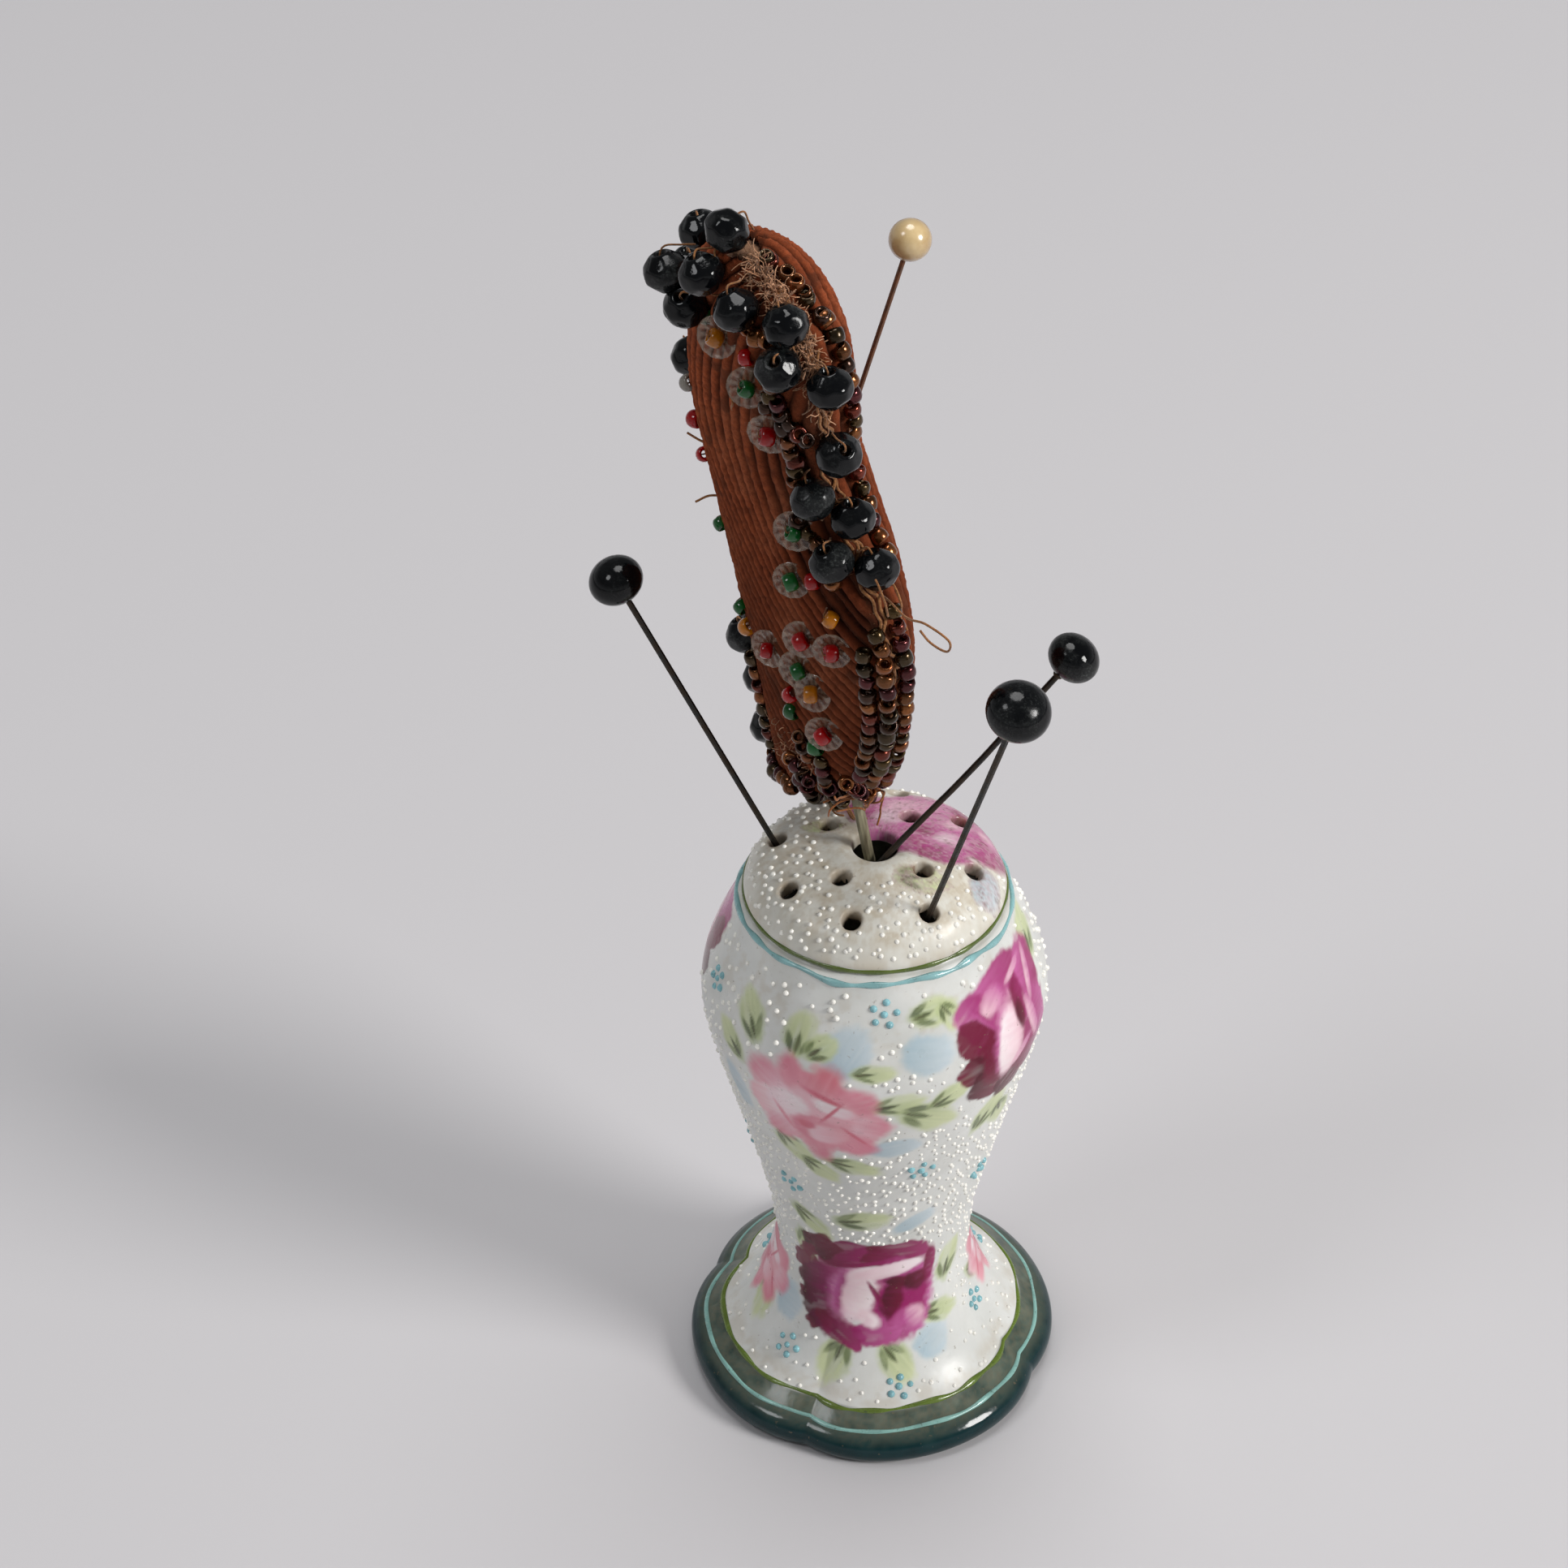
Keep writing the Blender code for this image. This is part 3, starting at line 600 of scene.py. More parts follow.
CRIMSON, DEEP = tint(110, 0, 46), tint(70, 0, 20)
MAGENTA, MAUVE = tint(150, 22, 96), tint(192, 96, 156)
BLUSH, ROSE = tint(238, 204, 213), tint(216, 120, 142)
RED, SOFT_ROSE = tint(208, 100, 116), tint(231, 166, 178)
MILK = tint(246, 236, 238)
LEAF, LIME = tint(176, 190, 136), tint(206, 214, 164)
OLIVE, DARK_LEAF = tint(98, 112, 70), tint(52, 66, 44)
BLUE, SKY = tint(158, 186, 200), tint(198, 212, 220)
TWIG = tint(70, 34, 30)


# A dark rose with a pale crescent petal and a deep cup
CRIMSON_ROSE = (
    ((0.5, 2.0), (11.0, 9.6), 0, MAGENTA, MAGENTA, 0.14, 0.03),
    ((-3.6, 9.0), (6.6, 4.2), 14, CRIMSON, MAGENTA, 0.12, 0.05),
    ((6.2, 8.4), (7.2, 4.8), -8, CRIMSON, MAGENTA, 0.12, 0.05),
    ((-10.6, -1.6), (3.0, 3.4), 60, DEEP, CRIMSON, 0.12, 0.05),
    ((-8.5, 9.6), (4.2, 3.8), 40, DEEP, CRIMSON, 0.12, 0.08),
    ((-11.2, 6.6), (2.2, 1.8), 30, CRIMSON, CRIMSON, 0.2, 0.1),
    ((-11.6, -5.4), (2.2, 1.6), -20, CRIMSON, DEEP, 0.2, 0.1),
    ((-9.2, -9.6), (2.8, 2.0), 35, CRIMSON, DEEP, 0.2, 0.1),
    ((-11.4, 3.0), (3.0, 3.6), 80, CRIMSON, CRIMSON, 0.12, 0.08),
    ((-8.4, -4.0), (4.6, 8.6), 10, DEEP, MAGENTA, 0.14, 0.04),
    ((-4.5, -10.2), (5.6, 3.2), -30, CRIMSON, MAGENTA, 0.14, 0.06),
    ((6.5, -2.0), (7.4, 10.8), 0, MAGENTA, MAUVE, 0.16, 0.03),
    ((2.8, -9.6), (5.2, 3.4), 10, MAGENTA, MAUVE, 0.2, 0.04),
    ((-2.4, -1.0), (5.4, 8.6), -14, MAUVE, BLUSH, 0.45, 0.0),
    ((-4.6, -1.2), (1.6, 7.4), -8, MAUVE, MAGENTA, 0.6, 0.0),
    ((-1.2, -1.6), (3.5, 7.4), -14, BLUSH, MILK, 0.35, 0.0),
    ((-0.4, 3.6), (4.4, 2.6), 38, BLUSH, MILK, 0.45, 0.0),
    ((0.8, -7.0), (3.2, 2.0), -38, BLUSH, MILK, 0.5, 0.0),
    ((4.6, 4.8), (7.6, 2.1), 12, BLUSH, MILK, 0.3, 0.0),
    ((7.4, -3.2), (5.2, 6.2), 8, MAGENTA, MAGENTA, 0.25, 0.03),
    ((8.2, -7.0), (4.2, 2.6), 24, MAUVE, MAGENTA, 0.5, 0.0),
    ((5.0, -2.6), (2.5, 5.0), -12, DEEP, CRIMSON, 0.35, 0.05),
    ((6.6, 1.4), (3.6, 1.7), -16, DEEP, CRIMSON, 0.4, 0.03),
    ((9.6, 0.8), (3.0, 3.0), 20, DEEP, CRIMSON, 0.35, 0.05),
    ((9.4, -7.2), (2.6, 2.8), 30, MAUVE, BLUSH, 0.5, 0.0),
    ((12.4, 4.2), (1.4, 5.6), -6, CRIMSON, MAGENTA, 0.3, 0.0),
    ((-1.0, 6.4), (8.2, 0.8), 14, CRIMSON, MAGENTA, 0.5, 0.0),
    ((2.0, -1.4), (0.7, 4.8), 24, MAGENTA, CRIMSON, 0.5, 0.0),
)


# A magenta rose with one long white petal down its middle
TALL_ROSE = (
    ((1.0, 1.0), (10.4, 11.6), 8, MAGENTA, MAGENTA, 0.12, 0.02),
    ((-1.0, 10.2), (9.0, 4.2), 16, MAUVE, MAGENTA, 0.2, 0.03),
    ((-7.6, 6.8), (4.8, 5.0), 30, MAUVE, MAGENTA, 0.2, 0.03),
    ((7.6, 6.5), (4.8, 8.0), -12, MAUVE, MAGENTA, 0.2, 0.03),
    ((8.6, -3.0), (3.8, 7.4), 6, MAGENTA, MAUVE, 0.2, 0.03),
    ((-8.8, 2.8), (4.2, 4.8), 30, CRIMSON, CRIMSON, 0.12, 0.04),
    ((-10.2, -3.4), (3.8, 3.2), 10, CRIMSON, DEEP, 0.12, 0.04),
    ((-6.8, -8.4), (5.0, 4.2), -20, DEEP, CRIMSON, 0.12, 0.04),
    ((-0.6, -10.6), (4.8, 3.6), 30, DEEP, CRIMSON, 0.12, 0.04),
    ((4.6, -8.6), (3.8, 3.6), 40, CRIMSON, MAGENTA, 0.14, 0.04),
    ((-4.8, -2.6), (4.2, 6.8), -12, CRIMSON, CRIMSON, 0.3, 0.0),
    ((-1.4, -0.6), (4.6, 9.0), -10, MAUVE, BLUSH, 0.35, 0.0),
    ((-1.6, -1.6), (3.2, 7.8), -10, MILK, BLUSH, 0.3, 0.0),
    ((-3.4, 8.2), (4.2, 2.6), 34, BLUSH, MAUVE, 0.5, 0.0),
    ((3.0, 4.6), (2.4, 6.2), -4, CRIMSON, MAGENTA, 0.4, 0.03),
    ((2.6, 2.0), (1.5, 3.6), 0, DEEP, CRIMSON, 0.5, 0.0),
    ((6.2, -1.0), (1.7, 6.6), 14, BLUSH, MAUVE, 0.5, 0.0),
    ((8.0, 7.0), (1.3, 6.2), -16, BLUSH, MAUVE, 0.55, 0.0),
    ((1.8, -5.6), (4.8, 1.4), 30, BLUSH, MAUVE, 0.6, 0.0),
    ((4.2, 10.4), (4.4, 1.0), 20, BLUSH, MAUVE, 0.6, 0.0),
    ((-6.4, 6.0), (0.9, 4.4), 34, MAUVE, MAGENTA, 0.6, 0.0),
)


# A soft pink rose, open, with its cup low in the middle
PINK_ROSE = (
    ((0.0, -0.6), (12.6, 11.2), 0, SOFT_ROSE, ROSE, 0.2, 0.02),
    ((-8.4, 5.2), (5.4, 5.2), 150, BLUSH, ROSE, 0.5, 0.02),
    ((-9.0, -1.8), (4.8, 5.0), 190, MILK, SOFT_ROSE, 0.35, 0.02),
    ((-6.2, -7.6), (5.2, 4.4), 235, BLUSH, ROSE, 0.5, 0.03),
    ((0.4, -10.4), (5.6, 3.2), 275, SOFT_ROSE, ROSE, 0.5, 0.03),
    ((7.0, -8.0), (5.2, 4.4), 318, SOFT_ROSE, ROSE, 0.5, 0.03),
    ((10.2, -2.2), (4.8, 4.8), 350, BLUSH, ROSE, 0.5, 0.03),
    ((8.6, 4.4), (4.6, 4.2), 30, SOFT_ROSE, ROSE, 0.5, 0.03),
    ((-3.4, 8.4), (5.0, 3.4), 110, SOFT_ROSE, ROSE, 0.5, 0.03),
    ((2.6, 7.8), (5.8, 4.2), 70, SOFT_ROSE, RED, 0.6, 0.03),
    ((0.0, 0.0), (9.6, 6.4), -8, BLUSH, SOFT_ROSE, 0.4, 0.0),
    ((-4.8, 0.4), (5.2, 4.2), 200, MILK, BLUSH, 0.45, 0.0),
    ((4.2, 2.0), (4.8, 2.4), -20, MILK, BLUSH, 0.45, 0.0),
    ((2.4, 4.8), (5.4, 1.0), -24, ROSE, RED, 0.6, 0.0),
    ((0.8, -5.4), (6.0, 4.6), 0, ROSE, SOFT_ROSE, 0.3, 0.0),
    ((2.2, -6.4), (4.2, 3.2), 10, BLUSH, SOFT_ROSE, 0.4, 0.0),
    ((-1.2, -4.4), (2.2, 1.6), 0, RED, ROSE, 0.5, 0.0),
    ((-5.6, -4.0), (0.7, 5.0), 28, ROSE, SOFT_ROSE, 0.6, 0.0),
    ((3.6, 0.6), (0.5, 5.4), -34, RED, ROSE, 0.6, 0.0),
    ((7.4, -5.6), (0.6, 4.6), 40, RED, ROSE, 0.6, 0.0),
)


def lay_petals(canvas, at, plan, size, seed, dome, mirror):
    for number, (shift, reach, turn, ink, tip, soft, scallop) in enumerate(plan):
        stroke(
            canvas, at, (shift[0] * size * mirror, shift[1] * size),
            (reach[0] * size, reach[1] * size), turn * mirror, ink, tip, soft,
            0.15, 0.97, seed * 31 + number, 2.0, 1.4 * scallop, dome,
        )


def leaf(canvas, at, length, width, turn, seed=1, dome=False):
    """A pale green leaf with dark touches fanning from its stem."""
    stroke(canvas, at, (0, 0), (length, width), turn, LEAF, LIME, 0.35, 0.35, 0.85, seed,
           1.7, 0.04, dome)
    way = np.array([math.cos(math.radians(turn)), math.sin(math.radians(turn))])
    side = np.array([-way[1], way[0]])
    for number, (start, aside, slant) in enumerate(
        ((-0.35, 0.0, 0), (-0.4, 0.4, 24), (-0.3, -0.42, -22))
    ):
        shift = way * start * length + side * aside * width
        ink = DARK_LEAF if (number + seed) % 2 else OLIVE
        stroke(canvas, at, shift, (length * 0.46, width * 0.24), turn + slant, ink, OLIVE,
               0.5, 0.4, 0.8, seed + number, 1.6, 0.0, dome)
    stroke(canvas, at, -way * length * 0.3, (length * 0.5, 0.28), turn + 6, TWIG, DARK_LEAF,
           0.6, 0.3, 0.7, seed + 5, 1.8, 0.0, dome)


def blue_petal(canvas, at, length, width, turn, seed=1, dome=False):
    stroke(canvas, at, (0, 0), (length, width), turn, BLUE, SKY, 0.35, 0.15, 0.8, seed,
           2.0, 0.03, dome)


LEAVES = (
    (-139, 99.0, 5.2, 3.0, 118), (-146, 92.0, 4.4, 2.4, 140), (-118, 100.0, 4.6, 3.2, 80),
    (-110, 98.5, 3.6, 2.4, 40), (-70, 104.6, 4.4, 2.6, 10), (-63, 103.2, 3.2, 2.0, -60),
    (-92, 95.0, 4.2, 1.8, 4), (-84, 88.0, 5.0, 2.6, 12), (-73, 83.5, 6.2, 3.8, -28),
    (-66, 88.0, 4.6, 2.4, 30), (-46, 77.0, 5.4, 3.0, 60), (-38, 74.0, 4.4, 2.6, -70),
    (-10, 105.0, 5.2, 3.4, 60), (-124, 71.0, 5.2, 3.0, -50), (-100, 68.5, 5.4, 2.4, -14),
    (-114, 66.0, 4.6, 2.4, -40), (-125, 46.5, 5.4, 2.6, -46), (-97, 50.5, 5.6, 3.0, 14),
    (-132, 38.0, 4.6, 2.4, -80), (-42, 32.0, 5.0, 2.8, 72), (-52, 21.5, 4.2, 2.4, -10),
    (-110, 14.0, 5.2, 3.2, -110), (-80, 14.6, 5.0, 3.0, -60), (-164, 17.0, 5.8, 3.2, -74),
    (150, 92.0, 5.4, 3.2, -60), (176, 104.0, 4.8, 2.8, 200), (96, 92.0, 5.6, 3.2, 30),
    (36, 96.0, 5.4, 3.0, 80), (22, 80.0, 5.4, 3.0, -60), (64, 74.0, 5.4, 3.2, -80),
    (118, 78.0, 5.4, 3.0, -20), (84, 48.0, 5.2, 2.8, 20), (112, 44.0, 5.0, 2.8, 140),
    (62, 24.0, 4.6, 2.6, 10), (118, 20.0, 5.0, 2.8, 200), (90, 13.6, 4.8, 2.8, -100),
    (20, 34.0, 5.0, 2.6, 80), (-14, 22.0, 4.4, 2.4, -30),
)
BLUE_PETALS = (
    (-101, 98.5, 5.6, 4.2, 60), (-73, 97.5, 5.0, 4.0, -10), (-84, 75.0, 5.2, 2.7, 12),
    (-147, 80.0, 3.0, 5.6, 10), (-70, 49.0, 4.6, 2.2, 32), (-144, 21.0, 3.6, 4.4, 0),
    (-60, 16.6, 4.0, 3.4, 30), (132, 98.0, 5.0, 3.6, 30), (60, 100.0, 4.8, 3.4, -30),
    (40, 72.0, 4.6, 2.8, 20), (96, 62.0, 4.6, 2.6, -20), (130, 30.0, 3.8, 3.4, 0),
    (50, 16.0, 4.0, 3.2, 20), (0, 88.0, 4.6, 3.4, 70),
)
CLUSTERS = (
    (-162, 98.6), (-88, 105.3), (-72, 66.1), (-131.6, 57.0), (-33, 54.7), (-135, 13.4),
    (-80, 11.0), (-23, 16.4), (112, 103.5), (30, 106.0), (160, 64.0), (96, 56.0), (24, 60.0),
    (150, 14.0), (30, 14.0), (-172, 56.0),
)
ROSES = (
    (PINK_ROSE, (-113.0, 84.0), 1.0, 1), (TALL_ROSE, (-38.0, 94.5), 0.97, 1),
    (CRIMSON_ROSE, (-96.0, 30.0), 1.0, 1), (TALL_ROSE, (163.0, 99.0), 0.9, -1),
    (PINK_ROSE, (62.0, 88.0), 1.0, -1), (PINK_ROSE, (-178.0, 24.0), 0.75, 1),
    (CRIMSON_ROSE, (84.0, 30.0), 0.95, -1), (PINK_ROSE, (8.0, 24.0), 0.7, -1),
)


def dome_picture(canvas):
    """The soft mauve rose on the back right of the dome, with its leaf and blue petal."""
    leaf(canvas, (7.6, -8.4), 5.6, 3.6, -10, 5, True)
    leaf(canvas, (-9.0, 5.6), 4.2, 2.2, 170, 6, True)
    blue_petal(canvas, (18.6, -7.0), 2.8, 4.8, -14, 7, True)
    rose = (9.0, 6.6)
    plan = (
        ((0.0, 0.0), (13.0, 9.6), -8, MAUVE, MAUVE, 0.2, 0.03),
        ((9.4, -4.2), (5.4, 4.6), -30, MAUVE, MAGENTA, 0.25, 0.04),
        ((-10.0, 4.0), (5.6, 4.2), 20, MAGENTA, MAUVE, 0.3, 0.04),
        ((-1.6, 4.6), (8.0, 3.4), 8, BLUSH, MAUVE, 0.5, 0.0),
        ((2.6, -8.6), (6.0, 2.4), -4, MAGENTA, MAUVE, 0.35, 0.05),
        ((-3.6, -6.4), (4.0, 2.2), 20, MAUVE, MAGENTA, 0.4, 0.04),
        ((-5.4, 1.2), (4.8, 3.0), 10, MILK, MAUVE, 0.7, 0.0),
        ((4.4, -4.6), (4.6, 2.2), -10, MILK, MAUVE, 0.7, 0.0),
        ((0.0, -2.4), (3.2, 2.4), 0, CRIMSON, MAUVE, 0.7, 0.0),
        ((6.6, 4.6), (3.4, 2.2), -30, MAGENTA, CRIMSON, 0.5, 0.0),
        ((6.0, 0.6), (4.2, 2.0), 20, BLUSH, MAUVE, 0.6, 0.0),
        ((10.6, -1.2), (3.2, 1.4), -50, BLUSH, MAUVE, 0.6, 0.0),
    )
    lay_petals(canvas, rose, plan, 1.0, 71, True, 1)
    top = np.nonzero(canvas.dome & (canvas.cover > 0.1))[0]
    if len(top):
        veil = 0.3 + 0.4 * clouds(canvas.x[top] * 0.5, canvas.y[top] * 0.5, 17)
        veil *= smooth(0.2, 0.8, clouds(canvas.x[top] * 2.2, canvas.y[top] * 2.2, 19))
        canvas.mix(top, tint(196, 170, 176), veil)
        dust = 0.2 + 0.5 * smooth(0.45, 0.8, clouds(canvas.x[top] * 0.9, canvas.y[top] * 0.9, 23))
        canvas.mix(top, tint(126, 96, 92), dust * smooth(0.3, 0.7, clouds(
            canvas.x[top] * 3.1, canvas.y[top] * 3.1, 29)))


def ground_colour(canvas):
    """White glaze, the sponged foot and a little old dirt."""
    across = np.where(canvas.dome, canvas.x, np.radians(canvas.bearing) * 26.0)
    along = np.where(canvas.dome, canvas.y, canvas.run)
    cloud = clouds(across * 0.11, along * 0.11, 3)[:, None]
    canvas.colour[:] = tint(229, 227, 218) * (1 - cloud) + tint(206, 205, 197) * cloud
    canvas.colour[~canvas.dome] *= (1.0, 1.03, 1.09)  # the body is a cooler white
    mottle = clouds(across * 0.45, along * 0.45, 8)
    fine = clouds(across * 1.6, along * 1.6, 12)
    height = canvas.height
    # dirt on the dome, round its holes and beside the raised lines
    dirt = 0.38 * smooth(113.0, 118.0, height) * smooth(0.3, 0.72, mottle)
    dirt += 0.22 * smooth(114.0, 117.0, height) * smooth(0.35, 0.7, fine)
    dirt += 0.4 * np.exp(-((height - 112.6) / 1.6) ** 2) * smooth(0.3, 0.7, mottle)
    dirt += 0.3 * np.exp(-((height - 9.6) / 1.4) ** 2) * smooth(0.25, 0.7, mottle)
    dirt += 0.26 * smooth(0.5, 0.8, mottle) * np.exp(-((height - 104.0) / 6.0) ** 2)
    mixed = tint(176, 158, 128)
    every = np.arange(len(height))
    canvas.mix(every, mixed, np.clip(dirt, 0, 0.7))
    canvas.cover[:] = 0
    # sponged band between the two raised lines of the foot, then the dark edge
    band = 1 - smooth(8.1, 8.6, height)
    fine = smooth(0.25, 0.75, fine)
    shade = (tint(112, 120, 106) * (1 - mottle[:, None]) + tint(30, 58, 56) * mottle[:, None])
    shade = shade * (1 - 0.26 * fine[:, None]) + tint(122, 108, 86) * 0.26 * fine[:, None]
    canvas.mix(every, shade, band)
    rim = 1 - smooth(4.0, 6.9, height + 1.2 * (mottle - 0.5))
    teal = tint(0, 34, 38) * (1 - 0.5 * mottle[:, None]) + tint(6, 58, 62) * 0.5 * mottle[:, None]
    canvas.mix(every, teal, rim)


def paint(canvas):
    ground_colour(canvas)
    for number, (bearing, height, length, width, turn) in enumerate(BLUE_PETALS):
        blue_petal(canvas, (bearing, height), length * 1.12, width * 1.15, turn, 200 + number)
    for number, (bearing, height, length, width, turn) in enumerate(LEAVES):
        leaf(canvas, (bearing, height), length * 1.18, width * 1.22, turn, 300 + 11 * number)
    for number, (plan, at, size, mirror) in enumerate(ROSES):
        lay_petals(canvas, at, plan, size, 5 + number, False, mirror)
    dome_picture(canvas)


def hole_frames():
    """Centre and axis of each pin hole through the dome."""
    found = []
    for ring, bearing, tilt, height in HOLES:
        angle, tilt = math.radians(bearing), math.radians(tilt)
        away = np.array([math.cos(angle), math.sin(angle), 0.0])
        axis = away * math.sin(tilt) + np.array([0, 0, math.cos(tilt)])
        found.append((away * ring + np.array([0, 0, height]), axis))
    return found


def off_axis(points, centre, axis):
    """How far points lie along an axis, their offsets square to it and their distances."""
    offset = points - centre
    along = offset @ axis
    spread = offset - along[:, None] * axis
    return along, spread, np.linalg.norm(spread, axis=1)


def sink_holes(points, colours, height):
    """Rolls the dome's surface down into each pin hole. Returns which points are gone."""
    gone = np.zeros(len(points), bool)
    wall, deep, lip = 0.75, 3.1, 0.55
    for centre, axis in hole_frames():
        along, spread, reach = off_axis(points, centre, axis)
        near = (reach < HOLE_RADIUS + lip + 1.2) & (height > 112.6)
        roll = near & (reach >= HOLE_RADIUS) & (reach < HOLE_RADIUS + lip)
        drop = lip - np.sqrt(np.maximum(0, lip ** 2 - (HOLE_RADIUS + lip - reach[roll]) ** 2))
        inside = near & (reach < HOLE_RADIUS) & (reach > 0)
        part = np.clip((HOLE_RADIUS - reach[inside]) / wall, 0, 1)
        points[roll] -= drop[:, None] * axis
        rim = centre + spread[inside] / reach[inside][:, None] * HOLE_RADIUS
        points[inside] = rim + (along[inside] - lip - part * (deep - lip))[:, None] * axis
        gone |= near & (reach < HOLE_RADIUS - wall)
        soil = np.exp(-(np.maximum(reach[near] - HOLE_RADIUS, 0) / 0.5) ** 2)
        soil *= 0.25 + 0.35 * grain(points[near][:, 0] * 1.1, points[near][:, 1] * 1.1, 5)
        soil = np.maximum(soil, 0.75 * smooth(0.2, 1.0, (HOLE_RADIUS - reach[near]) / wall))
        colours[near] += (tint(128, 100, 66) - colours[near]) * soil[:, None]
    return gone


def build_holder(material):
    """The glazed body as one skin: outside, pin holes, centre hole and inside."""
    sides = 560
    bearing = np.linspace(-180, 180, sides, endpoint=False)
    rows = len(PROFILE_R)
    grid_b = np.tile(bearing, rows)
    radius = np.repeat(PROFILE_R, sides)
    height = np.repeat(PROFILE_Z, sides)
    canvas = Canvas(grid_b, np.repeat(PROFILE_S, sides), radius, height)
    paint(canvas)
    angle = np.radians(grid_b)
    reach = radius - notch(angle, height)
    # a hand-turned body is never quite true
    reach += 0.05 * np.sin(angle * 3 + height * 0.05) + 0.04 * np.sin(angle * 2 - height * 0.11)
    points = np.stack([reach * np.cos(angle), reach * np.sin(angle), height], 1)
    gone = sink_holes(points, canvas.colour, height)
    quads = grid_faces(rows, sides, True)
    quads = quads[~gone[quads].any(1)]
    inside_r, inside_z = even_profile(INSIDE, 1.3)
    coarse = np.radians(np.linspace(-180, 180, 120, endpoint=False))
    inner = np.stack([
        (inside_r[:, None] * np.cos(coarse)).ravel(),
        (inside_r[:, None] * np.sin(coarse)).ravel(), np.repeat(inside_z, 120),
    ], 1)
    blocked = np.zeros(len(inner), bool)
    for centre, axis in hole_frames():
        blocked |= (off_axis(inner, centre, axis)[2] < HOLE_RADIUS) & (inner[:, 2] > 100)
    within = grid_faces(len(inside_r), 120, True)
    within = within[~blocked[within].any(1)] + len(points)
    foot = len(points) + len(inner)
    side = np.arange(sides)
    base = np.stack([np.full(sides, foot), (side + 1) % sides, side], 1)
    every = np.concatenate([points, inner, [[0, 0, 0]]])
    colours = np.concatenate([
        canvas.colour, np.tile(tint(206, 203, 194), (len(inner) + 1, 1)),
    ])
    piece = make_piece(
        "porcelain_holder", every, [quads, within, base], material, "holder", colours
    )
    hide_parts("holder_body")


def ring_line(name, height, radius, wave, colour, material, sink=0.25, lumps=0.2):
    """A raised line of enamel trailed round the holder."""
    count = 400
    bearing = np.linspace(-180, 180, count, endpoint=False)
    turn = np.radians(bearing)
    sway = wave * (np.sin(5 * turn + 1) + 0.7 * np.sin(9 * turn + 2) + 0.5 * np.sin(14 * turn))
    centre, out = on_holder(bearing, height + sway, -sink * radius)
    thick = radius * (1 + lumps * (grain(bearing * 0.12, bearing * 0, 4) - 0.5) * 2)
    ahead = np.roll(centre, -1, axis=0) - np.roll(centre, 1, axis=0)
    ahead /= np.linalg.norm(ahead, axis=1, keepdims=True)
    across = np.cross(ahead, out)
    sides = 10
    angle = 2 * math.pi * np.arange(sides) / sides
    points = (centre[:, None] + thick[:, None, None] * (
        np.cos(angle)[None, :, None] * across[:, None]
        + 0.75 * np.sin(angle)[None, :, None] * out[:, None]))
    quads = np.concatenate([grid_faces(count, sides, True), closing_faces(count, sides)])
    shade = grain(np.repeat(bearing, sides) * 0.2, np.zeros(count * sides), 9)[:, None]
    colours = colour * (0.82 + 0.36 * shade)
    make_piece(name, points.reshape(-1, 3), [quads], material, "holder", colours)


def dot_shape(centre, out, radius, tall):
    """A low round drop of enamel."""
    profile = ((1.0, -0.25), (0.96, 0.18), (0.78, 0.55), (0.45, 0.86), (0.06, 1.0))
    shape = [(reach * radius, rise * tall) for reach, rise in profile]
    return turned_shape(shape, centre, out, 8)


def clear_of_paint(bearing, height):
    """Which places on the glaze have no picture and no hole under them."""
    radius = np.interp(rise_of(height), PROFILE_S, PROFILE_R)
    canvas = Canvas(bearing, rise_of(height), radius, height)
    paint(canvas)
    keep = canvas.cover < 0.12
    spots = on_holder(bearing, height)[0]
    for centre, axis in hole_frames():
        reach = off_axis(spots, centre, axis)[2]
        keep &= (reach > HOLE_RADIUS + 0.95) | (height < 112)
    for bearing0, height0 in CLUSTERS:
        turn = (bearing - bearing0 + 180) % 360 - 180
        away = np.hypot(np.radians(turn) * radius, rise_of(height) - rise_of(height0))
        keep &= away > 3.2
    return keep


def jittered(low, high, pitch, loose, chance):
    """Places in loose rows between two heights."""
    found = []
    run, end = rise_of(low), rise_of(high)
    while run < end:
        radius = np.interp(run, PROFILE_S, PROFILE_R)
        count = max(3, int(2 * math.pi * radius / pitch))
        turns = (np.arange(count) + RNG.uniform(0, 1)) * 360.0 / count - 180
        turns += RNG.uniform(-loose, loose, count) * 360.0 / count
        lift = RNG.uniform(-loose, loose, count) * pitch
        heights = np.interp(np.clip(run + lift, 0, PROFILE_S[TOP_ROW]), PROFILE_S, PROFILE_Z)
        keep = RNG.uniform(0, 1, count) < chance
        found.append(np.stack([turns, heights], 1)[keep])
        run += pitch * 0.9
    return np.concatenate(found)


